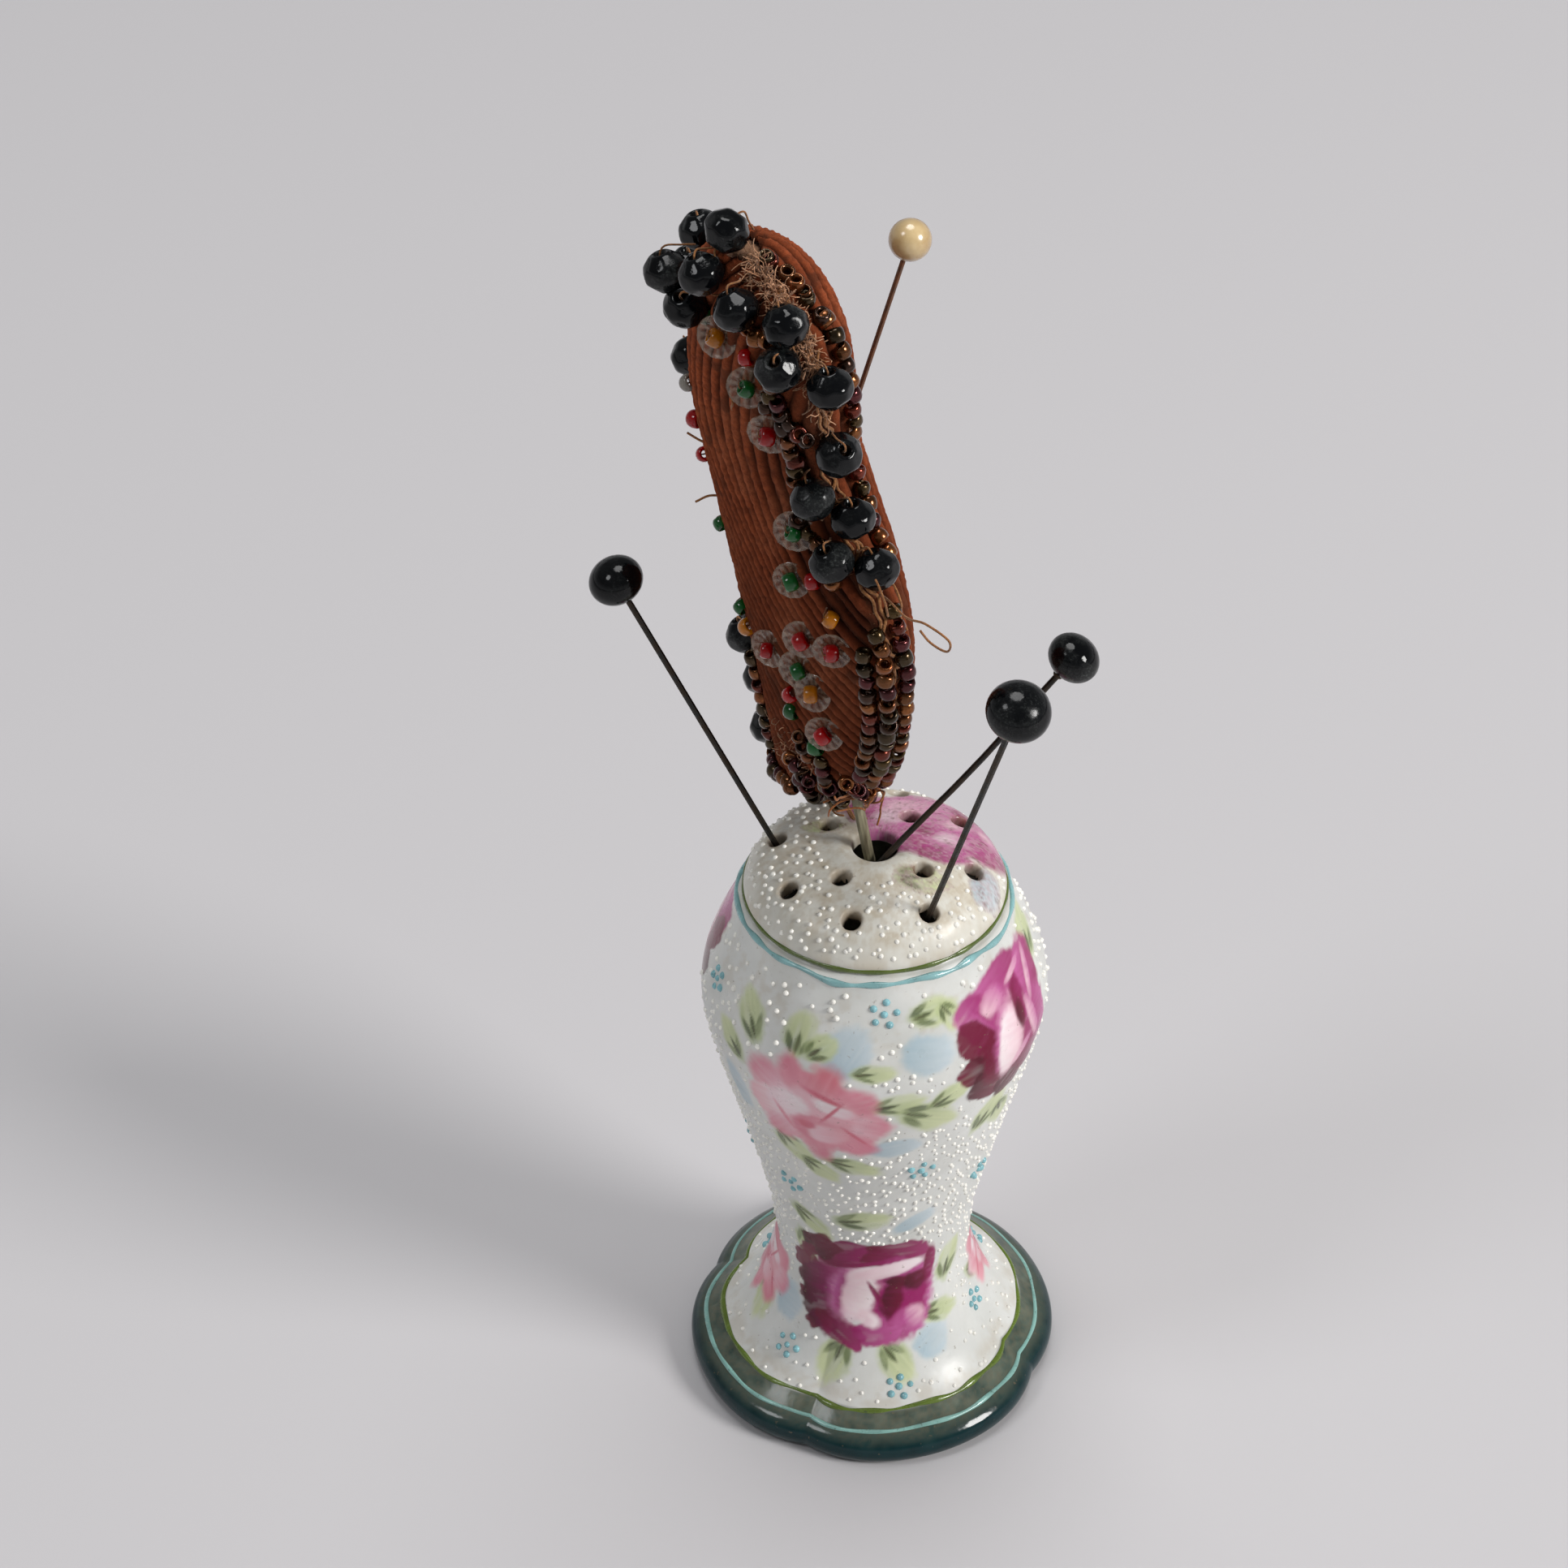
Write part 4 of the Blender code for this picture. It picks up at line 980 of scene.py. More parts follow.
def build_dots(white, turquoise):
    """White enamel beading over the bare glaze and turquoise florets on the holder."""
    heap = Heap()
    zones = (
        (9.8, 20.0, 3.2, 0.4, 0.8, 0.36, 0.5), (20.0, 44.0, 2.05, 0.36, 0.9, 0.32, 0.44),
        (44.0, 78.0, 2.0, 0.36, 0.92, 0.34, 0.48), (78.0, 94.0, 2.3, 0.38, 0.85, 0.34, 0.5),
        (94.0, 108.6, 2.6, 0.42, 0.74, 0.42, 0.6), (114.4, 120.5, 2.1, 0.42, 0.9, 0.38, 0.56),
    )
    for low, high, pitch, loose, chance, small, large in zones:
        bearing, height = jittered(low, high, pitch, loose, chance).T
        keep = clear_of_paint(bearing, height)
        spots, ways = on_holder(bearing[keep], height[keep])
        for spot, way in zip(spots, ways):
            radius = RNG.uniform(small, large)
            level = RNG.uniform(0.86, 1.0)
            warm = tint(252, 250, 242) * level
            points, quads = dot_shape(spot, way, radius, radius * RNG.uniform(0.7, 1.0))
            heap.add(points, quads, (), warm)
    heap.piece("white_enamel_beading", white, "holder")
    blue = Heap()
    for bearing, height in CLUSTERS:
        spin = RNG.uniform(0, 60)
        radius = np.interp(rise_of(height), PROFILE_S, PROFILE_R)
        for number in range(6):
            angle = math.radians(spin + 72 * number)
            away = 0.0 if number == 5 else RNG.uniform(1.7, 2.2)
            turn = bearing + math.degrees(away * math.cos(angle) / radius)
            level = np.interp(rise_of(height) + away * math.sin(angle), PROFILE_S, PROFILE_Z)
            spot, way = on_holder(turn, level)
            size = RNG.uniform(0.6, 0.76)
            colour = tint(132, 184, 192) * RNG.uniform(0.85, 1.15)
            points, quads = dot_shape(spot, way, size, size * 0.85)
            blue.add(points, quads, (), colour)
    blue.piece("turquoise_florets", turquoise, "holder")


# ---------------------------------------------------------------- cushion
def cushion_axes():
    lean, turn = math.radians(STICK_LEAN_DEG), math.radians(CUSHION_TURN_DEG)
    along = np.array([-math.sin(lean), 0.0, math.cos(lean)])
    front = np.array([math.sin(turn), -math.cos(turn), 0.0])
    front = unit(front - along * (front @ along))
    return along, front, np.cross(front, along)


ALONG, FRONT, LEFT = cushion_axes()


def station(place):
    """Front and back edge of the cushion at places along the stick."""
    last = len(STATIONS) - 2
    index = np.clip(np.searchsorted(STATIONS[:, 0], place, side="right") - 1, 0, last)
    low, high = STATIONS[index], STATIONS[index + 1]
    before = STATIONS[np.maximum(index - 1, 0)]
    after = STATIONS[np.minimum(index + 2, last + 1)]
    part = (place - low[..., 0]) / (high[..., 0] - low[..., 0])
    edges = []
    for edge in (1, 2):
        start = 0.5 * (high[..., edge] - before[..., edge])
        end = 0.5 * (after[..., edge] - low[..., edge])
        rise = high[..., edge] - low[..., edge]
        bend = (start + end - 2 * rise) * part + (3 * rise - 2 * start - end)
        edges.append(low[..., edge] + part * (start + part * bend))
    return edges


def skin(place, bearing, shrink=0.0):
    """Points of the cushion's surface at places along the stick and bearings in degrees."""
    place, bearing = np.broadcast_arrays(np.asarray(place, float), np.asarray(bearing, float))
    front_edge, back_edge = station(place)
    middle, half = 0.5 * (front_edge + back_edge), 0.5 * (front_edge - back_edge) - shrink
    part = np.clip((place - STATIONS[0, 0]) / (STATIONS[-1, 0] - STATIONS[0, 0]), 0, 1)
    full = np.sqrt(np.maximum(0, 1 - np.abs(2 * part - 1) ** BELLY_FULLNESS))
    angle = np.radians(bearing)
    left = np.sin(angle) >= -1e-12
    belly = np.where(left, BELLY_LEFT, BELLY_RIGHT[0] + (BELLY_RIGHT[1] - BELLY_RIGHT[0]) * part)
    thick = BELLY_END + (belly - BELLY_END) * full - shrink
    across = np.cos(angle)
    rise = np.maximum(0, 1 - np.abs(across) ** SECTION_POWER) ** SECTION_ROUND
    depth = np.where(left, 1.0, -1.0) * thick * rise
    return cushion_point(place, middle + half * across, depth)


def cushion_point(place, width, depth):
    place, width, depth = (np.asarray(v, float)[..., None] for v in (place, width, depth))
    return STICK_AT_HOLE + place * ALONG + width * FRONT + depth * LEFT


def above_skin(place, bearing, lift):
    """A point that stands off the cushion's surface, and the way out of it."""
    place = min(max(place, STATIONS[0, 0] + 0.6), STATIONS[-1, 0] - 0.6)
    here = skin(place, bearing)
    up = skin(place + 0.5, bearing) - skin(place - 0.5, bearing)
    over = skin(place, bearing + 4.0) - skin(place, bearing - 4.0)
    out = unit(np.cross(up, over))
    return here + out * lift, out


def cover_grid(side, rows, columns):
    """Points of one face at even steps over its width, with places and arc lengths."""
    places = np.linspace(STATIONS[0, 0], STATIONS[-1, 0], rows)
    fine = side * np.linspace(179.99, 0.01, 500)
    found, arcs = [], []
    for place in places:
        line = skin(np.full(500, place), fine)
        run = np.concatenate([[0], np.cumsum(np.linalg.norm(np.diff(line, axis=0), axis=1))])
        at = np.linspace(0, run[-1], columns)
        found.append(np.stack([np.interp(at, run, line[:, k]) for k in range(3)], 1))
        arcs.append(at)
    return places, np.array(found), np.array(arcs)


def build_cover(name, node, side, material):
    """One corduroy face: ribs run from top to bottom and sweep into the front seam."""
    rows, columns = 340, 300
    places, grid, arcs = cover_grid(side, rows, columns)
    part = np.linspace(0, 1, columns)[None, :] + 0 * arcs
    place = places[:, None] + 0 * arcs
    up = np.gradient(grid, axis=0)
    over = np.gradient(grid, axis=1)
    out = np.cross(over, up) * side
    out /= np.maximum(np.linalg.norm(out, axis=2, keepdims=True), 1e-9)
    middle = STICK_AT_HOLE + 60 * ALONG
    if ((grid - middle)[rows // 2, columns // 2] @ out[rows // 2, columns // 2]) < 0:
        out = -out
    steps = np.linspace(0, 125, 400)
    slant = math.radians(WALE_SLANT[side]) * (1 - smooth(34.0, 100.0, steps))
    climb = np.concatenate([[0], np.cumsum(np.sin(slant))[:-1]]) * (steps[1] - steps[0])
    from_edge = arcs if side > 0 else arcs[:, -1:] - arcs
    rib = from_edge * np.cos(np.interp(place, steps, slant)) + np.interp(place, steps, climb)
    rib += 1.1 * (grain(arcs * 0.1, place * 0.05, 21) - 0.5)
    rib += 0.3 * (grain(arcs * 0.5, place * 0.3, 23) - 0.5)
    phase = 0.5 - 0.5 * np.cos(2 * math.pi * rib / WALE)
    ridge = phase ** 0.6
    gather = smooth(0.35, 0.95, part) * np.exp(-((place - 66.0) / 24.0) ** 2)
    gather = np.maximum(gather, 0.55 * smooth(0.5, 1.0, part) * np.exp(-((place - 96) / 16.0) ** 2))
    fold = grain(rib * 0.17 + 3, place * 0.02, 31)
    crease = smooth(0.42, 0.08, fold) * gather
    edge = np.minimum(arcs, arcs[:, -1:] - arcs)
    calm = smooth(0.0, 1.6, edge)
    lift = calm * (1.05 * ridge - 0.62) - 1.0 * crease * calm
    lift += 0.35 * calm * (grain(arcs * 0.09, place * 0.06, 41) - 0.6)
    nubs = grain(arcs * 1.5, place * 1.5, 43)
    lift += 0.26 * (nubs - 0.5)
    points = grid + lift[..., None] * out
    worn = clouds(arcs * 0.12, place * 0.1, 51)
    # Painted shade: low is the dark of the rib valleys and of the creases, high the rib tops; phase
    # and crease set how much painted shade each point gets.
    high, low = tint(184, 92, 55), tint(28, 9, 5)
    tone = np.clip(phase ** 2.0 + 0.3 * (worn - 0.5) - 0.6 * crease, 0, 1)
    tone *= 0.72 + 0.5 * nubs
    # Painted shade: the face is darker towards the bottom and towards one side of its width.
    tone *= 0.44 + 0.56 * smooth(34.0, 96.0, place) * smooth(1.1, 0.35, part)
    tone = tone[..., None]
    colours = low * (1 - tone) + high * tone
    pale = (smooth(0.5, 0.8, worn) * phase)[..., None] * 0.35
    colours = colours * (1 - pale) + tint(186, 112, 78) * pale
    spot = smooth(0.8, 0.9, grain(arcs * 0.34, place * 0.26, 61))[..., None] * 0.65
    colours = colours * (1 - spot) + tint(70, 42, 30) * spot
    # Painted shade: the cloth darkens towards both long edges of the face, at the seams.
    grime_and_seam_shade = (smooth(2.6, 0.3, edge) * 0.45)[..., None]
    colours = colours * (1 - grime_and_seam_shade) + tint(78, 46, 30) * grime_and_seam_shade
    quads = grid_faces(rows, columns, False)
    if side > 0:
        quads = quads[:, ::-1]
    piece = make_piece(
        name, points.reshape(-1, 3), [quads], material, "cushion", colours.reshape(-1, 3)
    )
    cloth = piece.modifiers.new("cloth", "SOLIDIFY")
    cloth.thickness = 0.7 * MM
    cloth.offset = -1.0
    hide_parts(node)


def build_stuffing(material):
    """Loose cotton waste that shows at the cushion's two open ends."""
    rows, sides = 90, 120
    place = np.linspace(4.8, 120.4, rows)[:, None]
    bearing = np.linspace(0, 360, sides, endpoint=False)[None, :]
    grid = skin(place, np.where(bearing > 180, bearing - 360, bearing), 1.75)
    lumps = clouds(bearing * 0.16 + 0 * place, place * 0.9 + 0 * bearing, 77)
    centre = skin(place + 0 * bearing, 90.0) * 0.5 + skin(place + 0 * bearing, -90.0) * 0.5
    away = grid - centre
    away /= np.maximum(np.linalg.norm(away, axis=2, keepdims=True), 1e-6)
    points = (grid - away * (0.1 + 0.5 * lumps)[..., None]).reshape(-1, 3)
    quads = grid_faces(rows, sides, True)
    ends = np.array([points[:sides].mean(0), points[-sides:].mean(0)])
    side = np.arange(sides)
    after = (side + 1) % sides
    first, last = len(points), len(points) + 1
    top = (rows - 1) * sides
    tris = np.concatenate([
        np.stack([np.full(sides, first), after, side], 1),
        np.stack([np.full(sides, last), top + side, top + after], 1),
    ])
    colours = np.ones((len(points) + 2, 3)) * 0.8
    piece = make_piece(
        "cotton_stuffing", np.concatenate([points, ends]), [quads, tris], material,
        "cushion", colours,
    )
    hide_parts("cushion_stuffing")


def facet_ways():
    """The directions of a pressed bead's facets, in three rows."""
    ways = []
    for level, count, turn in ((-38, 7, 0.0), (2, 7, 0.5), (42, 7, 0.0)):
        for number in range(count):
            angle = 2 * math.pi * (number + turn) / count
            tilt = math.radians(level)
            ways.append((math.cos(tilt) * math.cos(angle), math.cos(tilt) * math.sin(angle),
                         math.sin(tilt)))
    return np.array(ways)


BEAD_HOLE = 1.15


def pressed_bead(centre, axis, radius, spin):
    """A faceted glass bead, fire-polished so its edges are soft, with a drilled hole."""
    sides, rows = 42, 26
    start = math.asin(BEAD_HOLE / radius * 1.1)
    lifts = np.linspace(start, math.pi - start, rows)
    turns = 2 * math.pi * np.arange(sides) / sides
    way = np.stack([
        (np.sin(lifts)[:, None] * np.cos(turns + spin)).ravel(),
        (np.sin(lifts)[:, None] * np.sin(turns + spin)).ravel(),
        np.repeat(-np.cos(lifts), sides),
    ], 1)
    facing = np.maximum(way @ facet_ways().T, 0)
    facing *= 1 + 0.03 * RNG.uniform(-1, 1, facing.shape[1])
    reach = (facing ** 30).sum(1) ** (-1 / 30)
    reach = radius * 0.96 * np.minimum(reach, 1.07)
    way[:, 2] *= 0.92
    local = way * reach[:, None]
    lip_low, lip_high = local[:sides], local[-sides:]
    bore = [lip_low * (0.72, 0.72, 0.96), lip_low * (0.7, 0.7, 0.3),
            lip_high * (0.7, 0.7, 0.3), lip_high * (0.72, 0.72, 0.96)]
    local = np.concatenate([local] + bore[::-1])
    quads = np.concatenate([
        grid_faces(rows + 4, sides, True), closing_faces(rows + 4, sides),
    ])
    first, second = square_to(axis)
    turned = (local[:, :1] * first + local[:, 1:2] * second + local[:, 2:] * unit(axis))
    return np.asarray(centre) + turned, quads


def seed_shape(centre, axis, radius):
    """A small round glass bead with a wide hole."""
    tall = radius * 0.74
    hole = radius * 0.4
    thick = (radius - hole) / 2
    middle = hole + thick
    turns = 2 * math.pi * np.arange(10) / 10
    profile = [(middle + thick * math.cos(a), tall * math.sin(a)) for a in turns]
    return turned_shape(profile, centre, axis, 16, True)


BRONZES = (
    tint(134, 76, 38), tint(112, 68, 34), tint(84, 64, 32), tint(112, 46, 30),
    tint(70, 54, 32), tint(86, 34, 36), tint(140, 84, 42), tint(62, 40, 28),
)


def pick(colours):
    return colours[int(RNG.integers(len(colours)))] * RNG.uniform(0.5, 1.0)


SEED_ROWS = {
    "front_upper": (68.0, 113.0, -27.0), "front_right": (22.0, 64.0, -12.0),
    "front_left": (22.0, 62.0, 7.0), "front_left_outer": (24.0, 58.0, 24.0),
    "back_left": (7.0, 32.0, 150.0), "back_right": (12.0, 110.0, 205.0),
}
SEED_GROUPS = (
    (103, 47, 4, -20), (99, 40, 3, 10), (96.5, 27, 3, 60), (92, 33, 3, 20), (87.5, 30, 3, -10),
    (112, 50, 3, 80), (119, -18, 4, 30), (115, -22, 3, 10), (76, 34, 3, 40), (70, 30, 2, 10),
    (19, 20, 5, 60), (16, 40, 5, 50), (12, 62, 5, 60), (9, 90, 4, 90), (8, 120, 4, 80),
    (14, -8, 4, 40), (21, 55, 4, 20), (17, 78, 4, 70), (12, 30, 4, 70), (25, 75, 3, 30),
    (10, -40, 4, 60), (8, -90, 4, 90), (14, -30, 4, 30),
)


def build_seed_rows(material):
    """Bronze beads sewn in rows beside the seam, and in small groups."""
    for name, (first, last, bearing) in SEED_ROWS.items():
        fine = np.linspace(first, last, 300)
        line, ways = np.swapaxes([above_skin(place, bearing, 1.55) for place in fine], 0, 1)
        step = np.linalg.norm(np.diff(line, axis=0), axis=1)
        run = np.concatenate([[0], np.cumsum(step)])
        count = int(run[-1] / 2.8)
        heap = Heap()
        for number in range(count):
            at = (number + 0.5) * run[-1] / count + RNG.uniform(-0.2, 0.2)
            centre = np.array([np.interp(at, run, line[:, k]) for k in range(3)])
            out = unit([np.interp(at, run, ways[:, k]) for k in range(3)])
            nearby = np.array([np.interp(at + 1.0, run, line[:, k]) for k in range(3)])
            heading = unit(nearby - centre + 1e-6)
            aside = np.cross(heading, out)
            centre = centre + aside * RNG.uniform(-0.28, 0.28) + out * RNG.uniform(-0.1, 0.15)
            axis = heading + out * RNG.uniform(-0.55, 0.55) + aside * RNG.uniform(-0.4, 0.4)
            heap.add(*seed_shape(centre, axis, RNG.uniform(1.38, 1.62)), colour=pick(BRONZES))
        piece = heap.piece(f"bronze_seed_row_{name}", material, "cushion")
        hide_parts(f"seed_row_{name}")
    groups = Heap()
    for place, bearing, count, slant in SEED_GROUPS:
        turn = math.radians(slant)
        for number in range(count):
            ahead = (number - 0.5 * (count - 1)) * 2.35
            spot = place + ahead * math.cos(turn) + RNG.uniform(-0.3, 0.3)
            away = bearing + ahead * math.sin(turn) * 3.4
            centre, out = above_skin(spot, away, 1.35 + RNG.uniform(0, 0.5))
            axis = unit(ALONG * math.cos(turn) + FRONT * math.sin(turn)
                        + out * RNG.uniform(-0.7, 0.7))
            groups.add(*seed_shape(centre, axis, RNG.uniform(1.3, 1.55)), colour=pick(BRONZES))
    groups.piece("bronze_seed_groups", material, "cushion")


BLACK_BEADS = (
    (113.5, 12.0), (109.0, 29.0), (105.5, -1.0), (93.5, -2.0),
    (83.5, 14.0), (78.0, -4.0), (72.5, 17.0), (69.5, -6.0),
    (116.0, 50.0), (119.0, 86.0), (111.0, 114.0), (115.0, 134.0),
    (114.5, 184.0), (106.0, 181.0), (97.0, 179.0), (86.5, 181.0),
    (31.0, 176.0), (20.5, 180.0), (10.5, 177.0),
)
BEAD_COUNT = 20
DUSTY = {1, 2, 5, 7, 12, 14, 17, 20}
BEAD_RADIUS = 3.55


def node_middle(name):
    low, high = (np.array(corner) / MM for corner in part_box(name))
    return 0.5 * (low + high)


def build_black_beads(clean, dusty, thread):
    """Twenty pressed beads, each with the thread that sews it down."""
    threads = Heap()
    for number in range(1, BEAD_COUNT + 1):
        node = f"black_bead_{number:02d}"
        centre = node_middle(node)
        if number == 12:
            centre = centre + np.array([3.4, 0.0, -0.4])  # drawn in to its neighbours
        if number in (17, 18, 19):
            centre = centre + 1.7 * FRONT  # hung close to the narrower foot of the cushion
        if number <= len(BLACK_BEADS):
            root, out = above_skin(*BLACK_BEADS[number - 1], 0.0)
        else:
            out = unit(ALONG * 0.8 + LEFT * 0.3)
            root = centre - out * 4.5
        upward = unit(ALONG - out * (ALONG @ out))
        axis = unit(upward + out * RNG.uniform(0.1, 0.9) + FRONT * RNG.uniform(-0.5, 0.5))
        points, quads = pressed_bead(centre, axis, BEAD_RADIUS, RNG.uniform(0, 1))
        heap = Heap()
        heap.add(points, quads)
        material = dusty if number in DUSTY else clean
        piece = heap.piece(f"jet_bead_{number:02d}", material, "cushion")
        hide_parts(node)
        for end in (1, -1):
            exit_ = centre + axis * end * 3.0
            over = exit_ + axis * end * 0.9 - out * 0.6
            down = root + axis * end * (3.2 + RNG.uniform(0, 1.2)) + out * 0.1
            aside = np.cross(axis, out) * RNG.uniform(-1.0, 1.0)
            path = smooth_path([centre + axis * end * 1.6, exit_, over, over * 0.4 + down * 0.6
                                + aside, down], 14)
            threads.add(*tube_shape(path, 0.17, 5), colour=np.ones(3) * RNG.uniform(0.6, 1.1))
    threads.piece("bead_sewing_threads", thread, "cushion")


ORNAMENTS = (
    (108.0, 90.5, "yellow", 1), (109.5, 107.0, "green", 0), (107.5, 66.5, "red", 0),
    (102.0, 65.0, "green", 1), (94.5, 50.0, "red", 1), (76.0, 44.0, "green", 1),
    (66.0, 63.5, "green", 1), (67.5, 48.5, "red", 0), (61.5, 44.0, "yellow", 0),
    (54.0, 68.0, "red", 1), (55.5, 47.0, "red", 1), (44.5, 98.0, "red", 1),
    (46.0, 74.0, "green", 1), (42.5, 65.0, "yellow", 1), (36.5, 86.0, "red", 0),
    (32.0, 86.0, "green", 0), (33.5, 57.5, "red", 1), (27.0, 65.0, "green", 0),
    (44.0, 136.0, "green", 0), (41.0, 132.0, "yellow", 0), (87.5, 146.0, "clear", 0),
    (80.0, 148.0, "red", 0), (72.5, 150.0, "red", 0), (58.0, 152.0, "green", 0),
)
GLASS = {
    "red": tint(176, 2, 8), "green": tint(8, 92, 34), "yellow": tint(206, 124, 14),
    "clear": tint(150, 144, 134),
}


def sequin_shape(centre, out, radius, spin):
    """A thin cupped disc with pressed rays and a hole in its middle."""
    first, second = square_to(out)
    steps, rows = 24, 5
    rings = []
    for reach in np.linspace(0.5, radius, rows):
        angle = spin + 2 * math.pi * np.arange(steps) / steps
        lift = 0.55 * (reach / radius) ** 1.6 + 0.1 * (-1.0) ** np.arange(steps) * reach / radius
        flat = np.cos(angle)[:, None] * first + np.sin(angle)[:, None] * second
        rings.append(np.asarray(centre) + reach * flat + lift[:, None] * np.asarray(out))
    under = [ring - 0.14 * np.asarray(out) for ring in rings[::-1]]
    points = np.concatenate(rings + under)
    rays = np.where(np.arange(steps) % 2, 1.0, 0.25)
    # Painted highlight: the rings at the hole's edge and at the outer rim are painted bright, which
    # also makes them less clear.
    rims = np.array([0.9, 0.2, 0.0, 0.1, 1.0])
    shade = np.maximum(rays[None, :], rims[:, None])
    shade = np.concatenate([shade, shade[::-1]]).reshape(-1, 1)
    return points, shade, np.concatenate([
        grid_faces(2 * rows, steps, True), closing_faces(2 * rows, steps),
    ])


def build_ornaments(glass, sequin, thread):
    """Clear sequins and coloured beads sewn over the cushion's left face."""
    beads, discs, ties = Heap(), Heap(), Heap()
    for place, bearing, colour, has_disc in ORNAMENTS:
        lift = 1.7 if has_disc else 0.3
        spot, out = above_skin(place, bearing, lift)
        lean = (0.7, 0.3) if has_disc and bearing < 110 else (0.1, 0.0)
        tilt = unit(out + (lean[0] + 0.25 * RNG.uniform(-1, 1)) * FRONT
                    + (lean[1] + 0.25 * RNG.uniform(-1, 1)) * ALONG)
        if has_disc:
            points, shade, quads = sequin_shape(
                spot, tilt, RNG.uniform(3.1, 3.6), RNG.uniform(0, 1)
            )
            discs.add(points, quads, (), shade)
        centre = spot + tilt * 1.15
        across = unit(np.cross(tilt, ALONG) + RNG.uniform(-1, 1) * ALONG + 0.5 * tilt)
        points, quads = seed_shape(centre, across, RNG.uniform(1.35, 1.6))
        beads.add(points, quads, (), GLASS[colour] * RNG.uniform(0.6, 0.95))
        path = smooth_path([spot - tilt * 0.6, centre + across * 1.1 + tilt * 0.3,
                            spot + across * 2.0 - tilt * 0.6], 8)
        ties.add(*tube_shape(path, 0.13, 5), colour=np.ones(3) * 0.8)
    beads.piece("coloured_glass_beads", glass, "cushion")
    discs.piece("clear_sequins", sequin, "cushion")
    ties.piece("sequin_ties", thread, "cushion")


def wander(start, heading, length, curl, steps=10):
    """A short loose fibre that drifts from its heading."""
    path, heading = [np.asarray(start, float)], unit(heading)
    bend = RNG.normal(0, 1, 3)
    for _ in range(steps):
        bend = 0.7 * bend + 0.6 * RNG.normal(0, 1, 3)
        heading = unit(heading + curl * bend / steps * 3)
        path.append(path[-1] + heading * length / steps)
    return np.array(path)


def build_frays(thread, batting):
    """Frayed cloth edges, tufts of batting and loose ends of thread."""
    seam = Heap()
    for number in range(230):
        place = RNG.uniform(6, 119)
        bearing = RNG.normal(0, 5)
        root, out = above_skin(place, bearing, 0.0)
        heading = out * 0.9 + ALONG * RNG.normal(0, 0.9) + LEFT * RNG.normal(0, 0.6)
        path = wander(root - out * 0.3, heading, RNG.uniform(0.9, 2.6), 1.0, 6)
        seam.add(*tube_shape(path, RNG.uniform(0.05, 0.1), 4),
                 colour=np.ones(3) * RNG.uniform(0.55, 1.2))
    for offset, radius in ((-3.5, 0.32), (3.0, 0.28), (-8.0, 0.26)):
        places = np.linspace(12, 118, 220)
        sway = 3.4 * np.sin(places * 0.62 + offset) + 2.0 * np.sin(places * 1.7)
        line = [above_skin(p, offset + s, 0.75)[0] for p, s in zip(places, sway)]
        seam.add(*tube_shape(line, radius, 6), colour=np.ones(3) * 0.85)
    seam.piece("seam_threads", thread, "cushion")
    rows, columns = 90, 26
    ragged = Heap()
    spots = []
    for place in np.linspace(98.0, 120.6, rows):
        middle = 9.0 - 0.4 * (121.0 - place)
        wide = 13.0 * smooth(96.0, 112.0, place) * (0.75 + 0.5 * float(grain(
            np.array(place * 0.5), np.array(0.0), 3)))
        for part in np.linspace(-1, 1, columns):
            lump = float(clouds(np.array(place * 0.8), np.array(part * 3.0), 37))
            lift = (1 - part * part) * (0.3 + 1.9 * lump) - 0.25
            spots.append(above_skin(place, middle + wide * part, lift)[0])
    shade = 0.55 + 0.7 * clouds(np.arange(len(spots)) % columns * 0.5,
                                np.arange(len(spots)) // columns * 0.35, 39)
    ragged.add(spots, grid_faces(rows, columns, False), (), shade[:, None] * np.ones(3))
    ragged.piece("frayed_seam_edge", batting, "cushion")
    tuft = Heap()
    for number in range(1000):
        if number % 5:
            place = 121.0 - abs(RNG.normal(0, 9.0))
            bearing = 10.0 + RNG.normal(0, 7.0) - 0.35 * (121.0 - place)
            reach, spring = RNG.uniform(1.6, 4.2), 0.25
        else:
            place, bearing = RNG.uniform(13, 25), RNG.normal(92, 18)
            reach, spring = RNG.uniform(0.8, 2.8), 0.7
        root, out = above_skin(place, bearing, RNG.uniform(0.0, 0.9))
        heading = out * spring * RNG.uniform(0.2, 1.4) + ALONG * RNG.normal(0, 0.9)
        heading = heading + np.cross(out, ALONG) * RNG.normal(0, 0.45)
        path = wander(root, heading, reach, 1.2, 6)
        grey = RNG.uniform(0.45, 1.3)
        tuft.add(*tube_shape(path, RNG.uniform(0.05, 0.11), 4), colour=np.ones(3) * grey)
    tuft.piece("batting_tufts", batting, "cushion")
    loops = Heap()
    for start, turn, places in LOOSE_THREADS:
        root, out = above_skin(start, turn, 0.2)
        path = np.array([root] + [root + a * out + b * ALONG + c * np.cross(out, ALONG)
                                  for a, b, c in places])
        path[:, 2] = np.maximum(path[:, 2], HEIGHT + 2.6)
        loops.add(*tube_shape(smooth_path(path, 40), 0.2, 6),
                  colour=np.ones(3) * RNG.uniform(0.7, 1.05))
    for number in range(13):
        root, _ = above_skin(RNG.uniform(11, 16), RNG.uniform(-30, 8), 0.3)
        heading = np.array([0.8, -0.3, 0.0]) - 0.75 * ALONG
        path = wander(root, heading, RNG.uniform(7, 13), 2.4, 9)
        path[:, 2] = np.maximum(path[:, 2], HEIGHT + 2.6)
        loops.add(*tube_shape(smooth_path(path, 36), 0.19, 5),
                  colour=np.array((1.0, 0.8, 0.62)) * RNG.uniform(0.7, 1.05))
    loops.piece("loose_thread_ends", thread, "cushion")


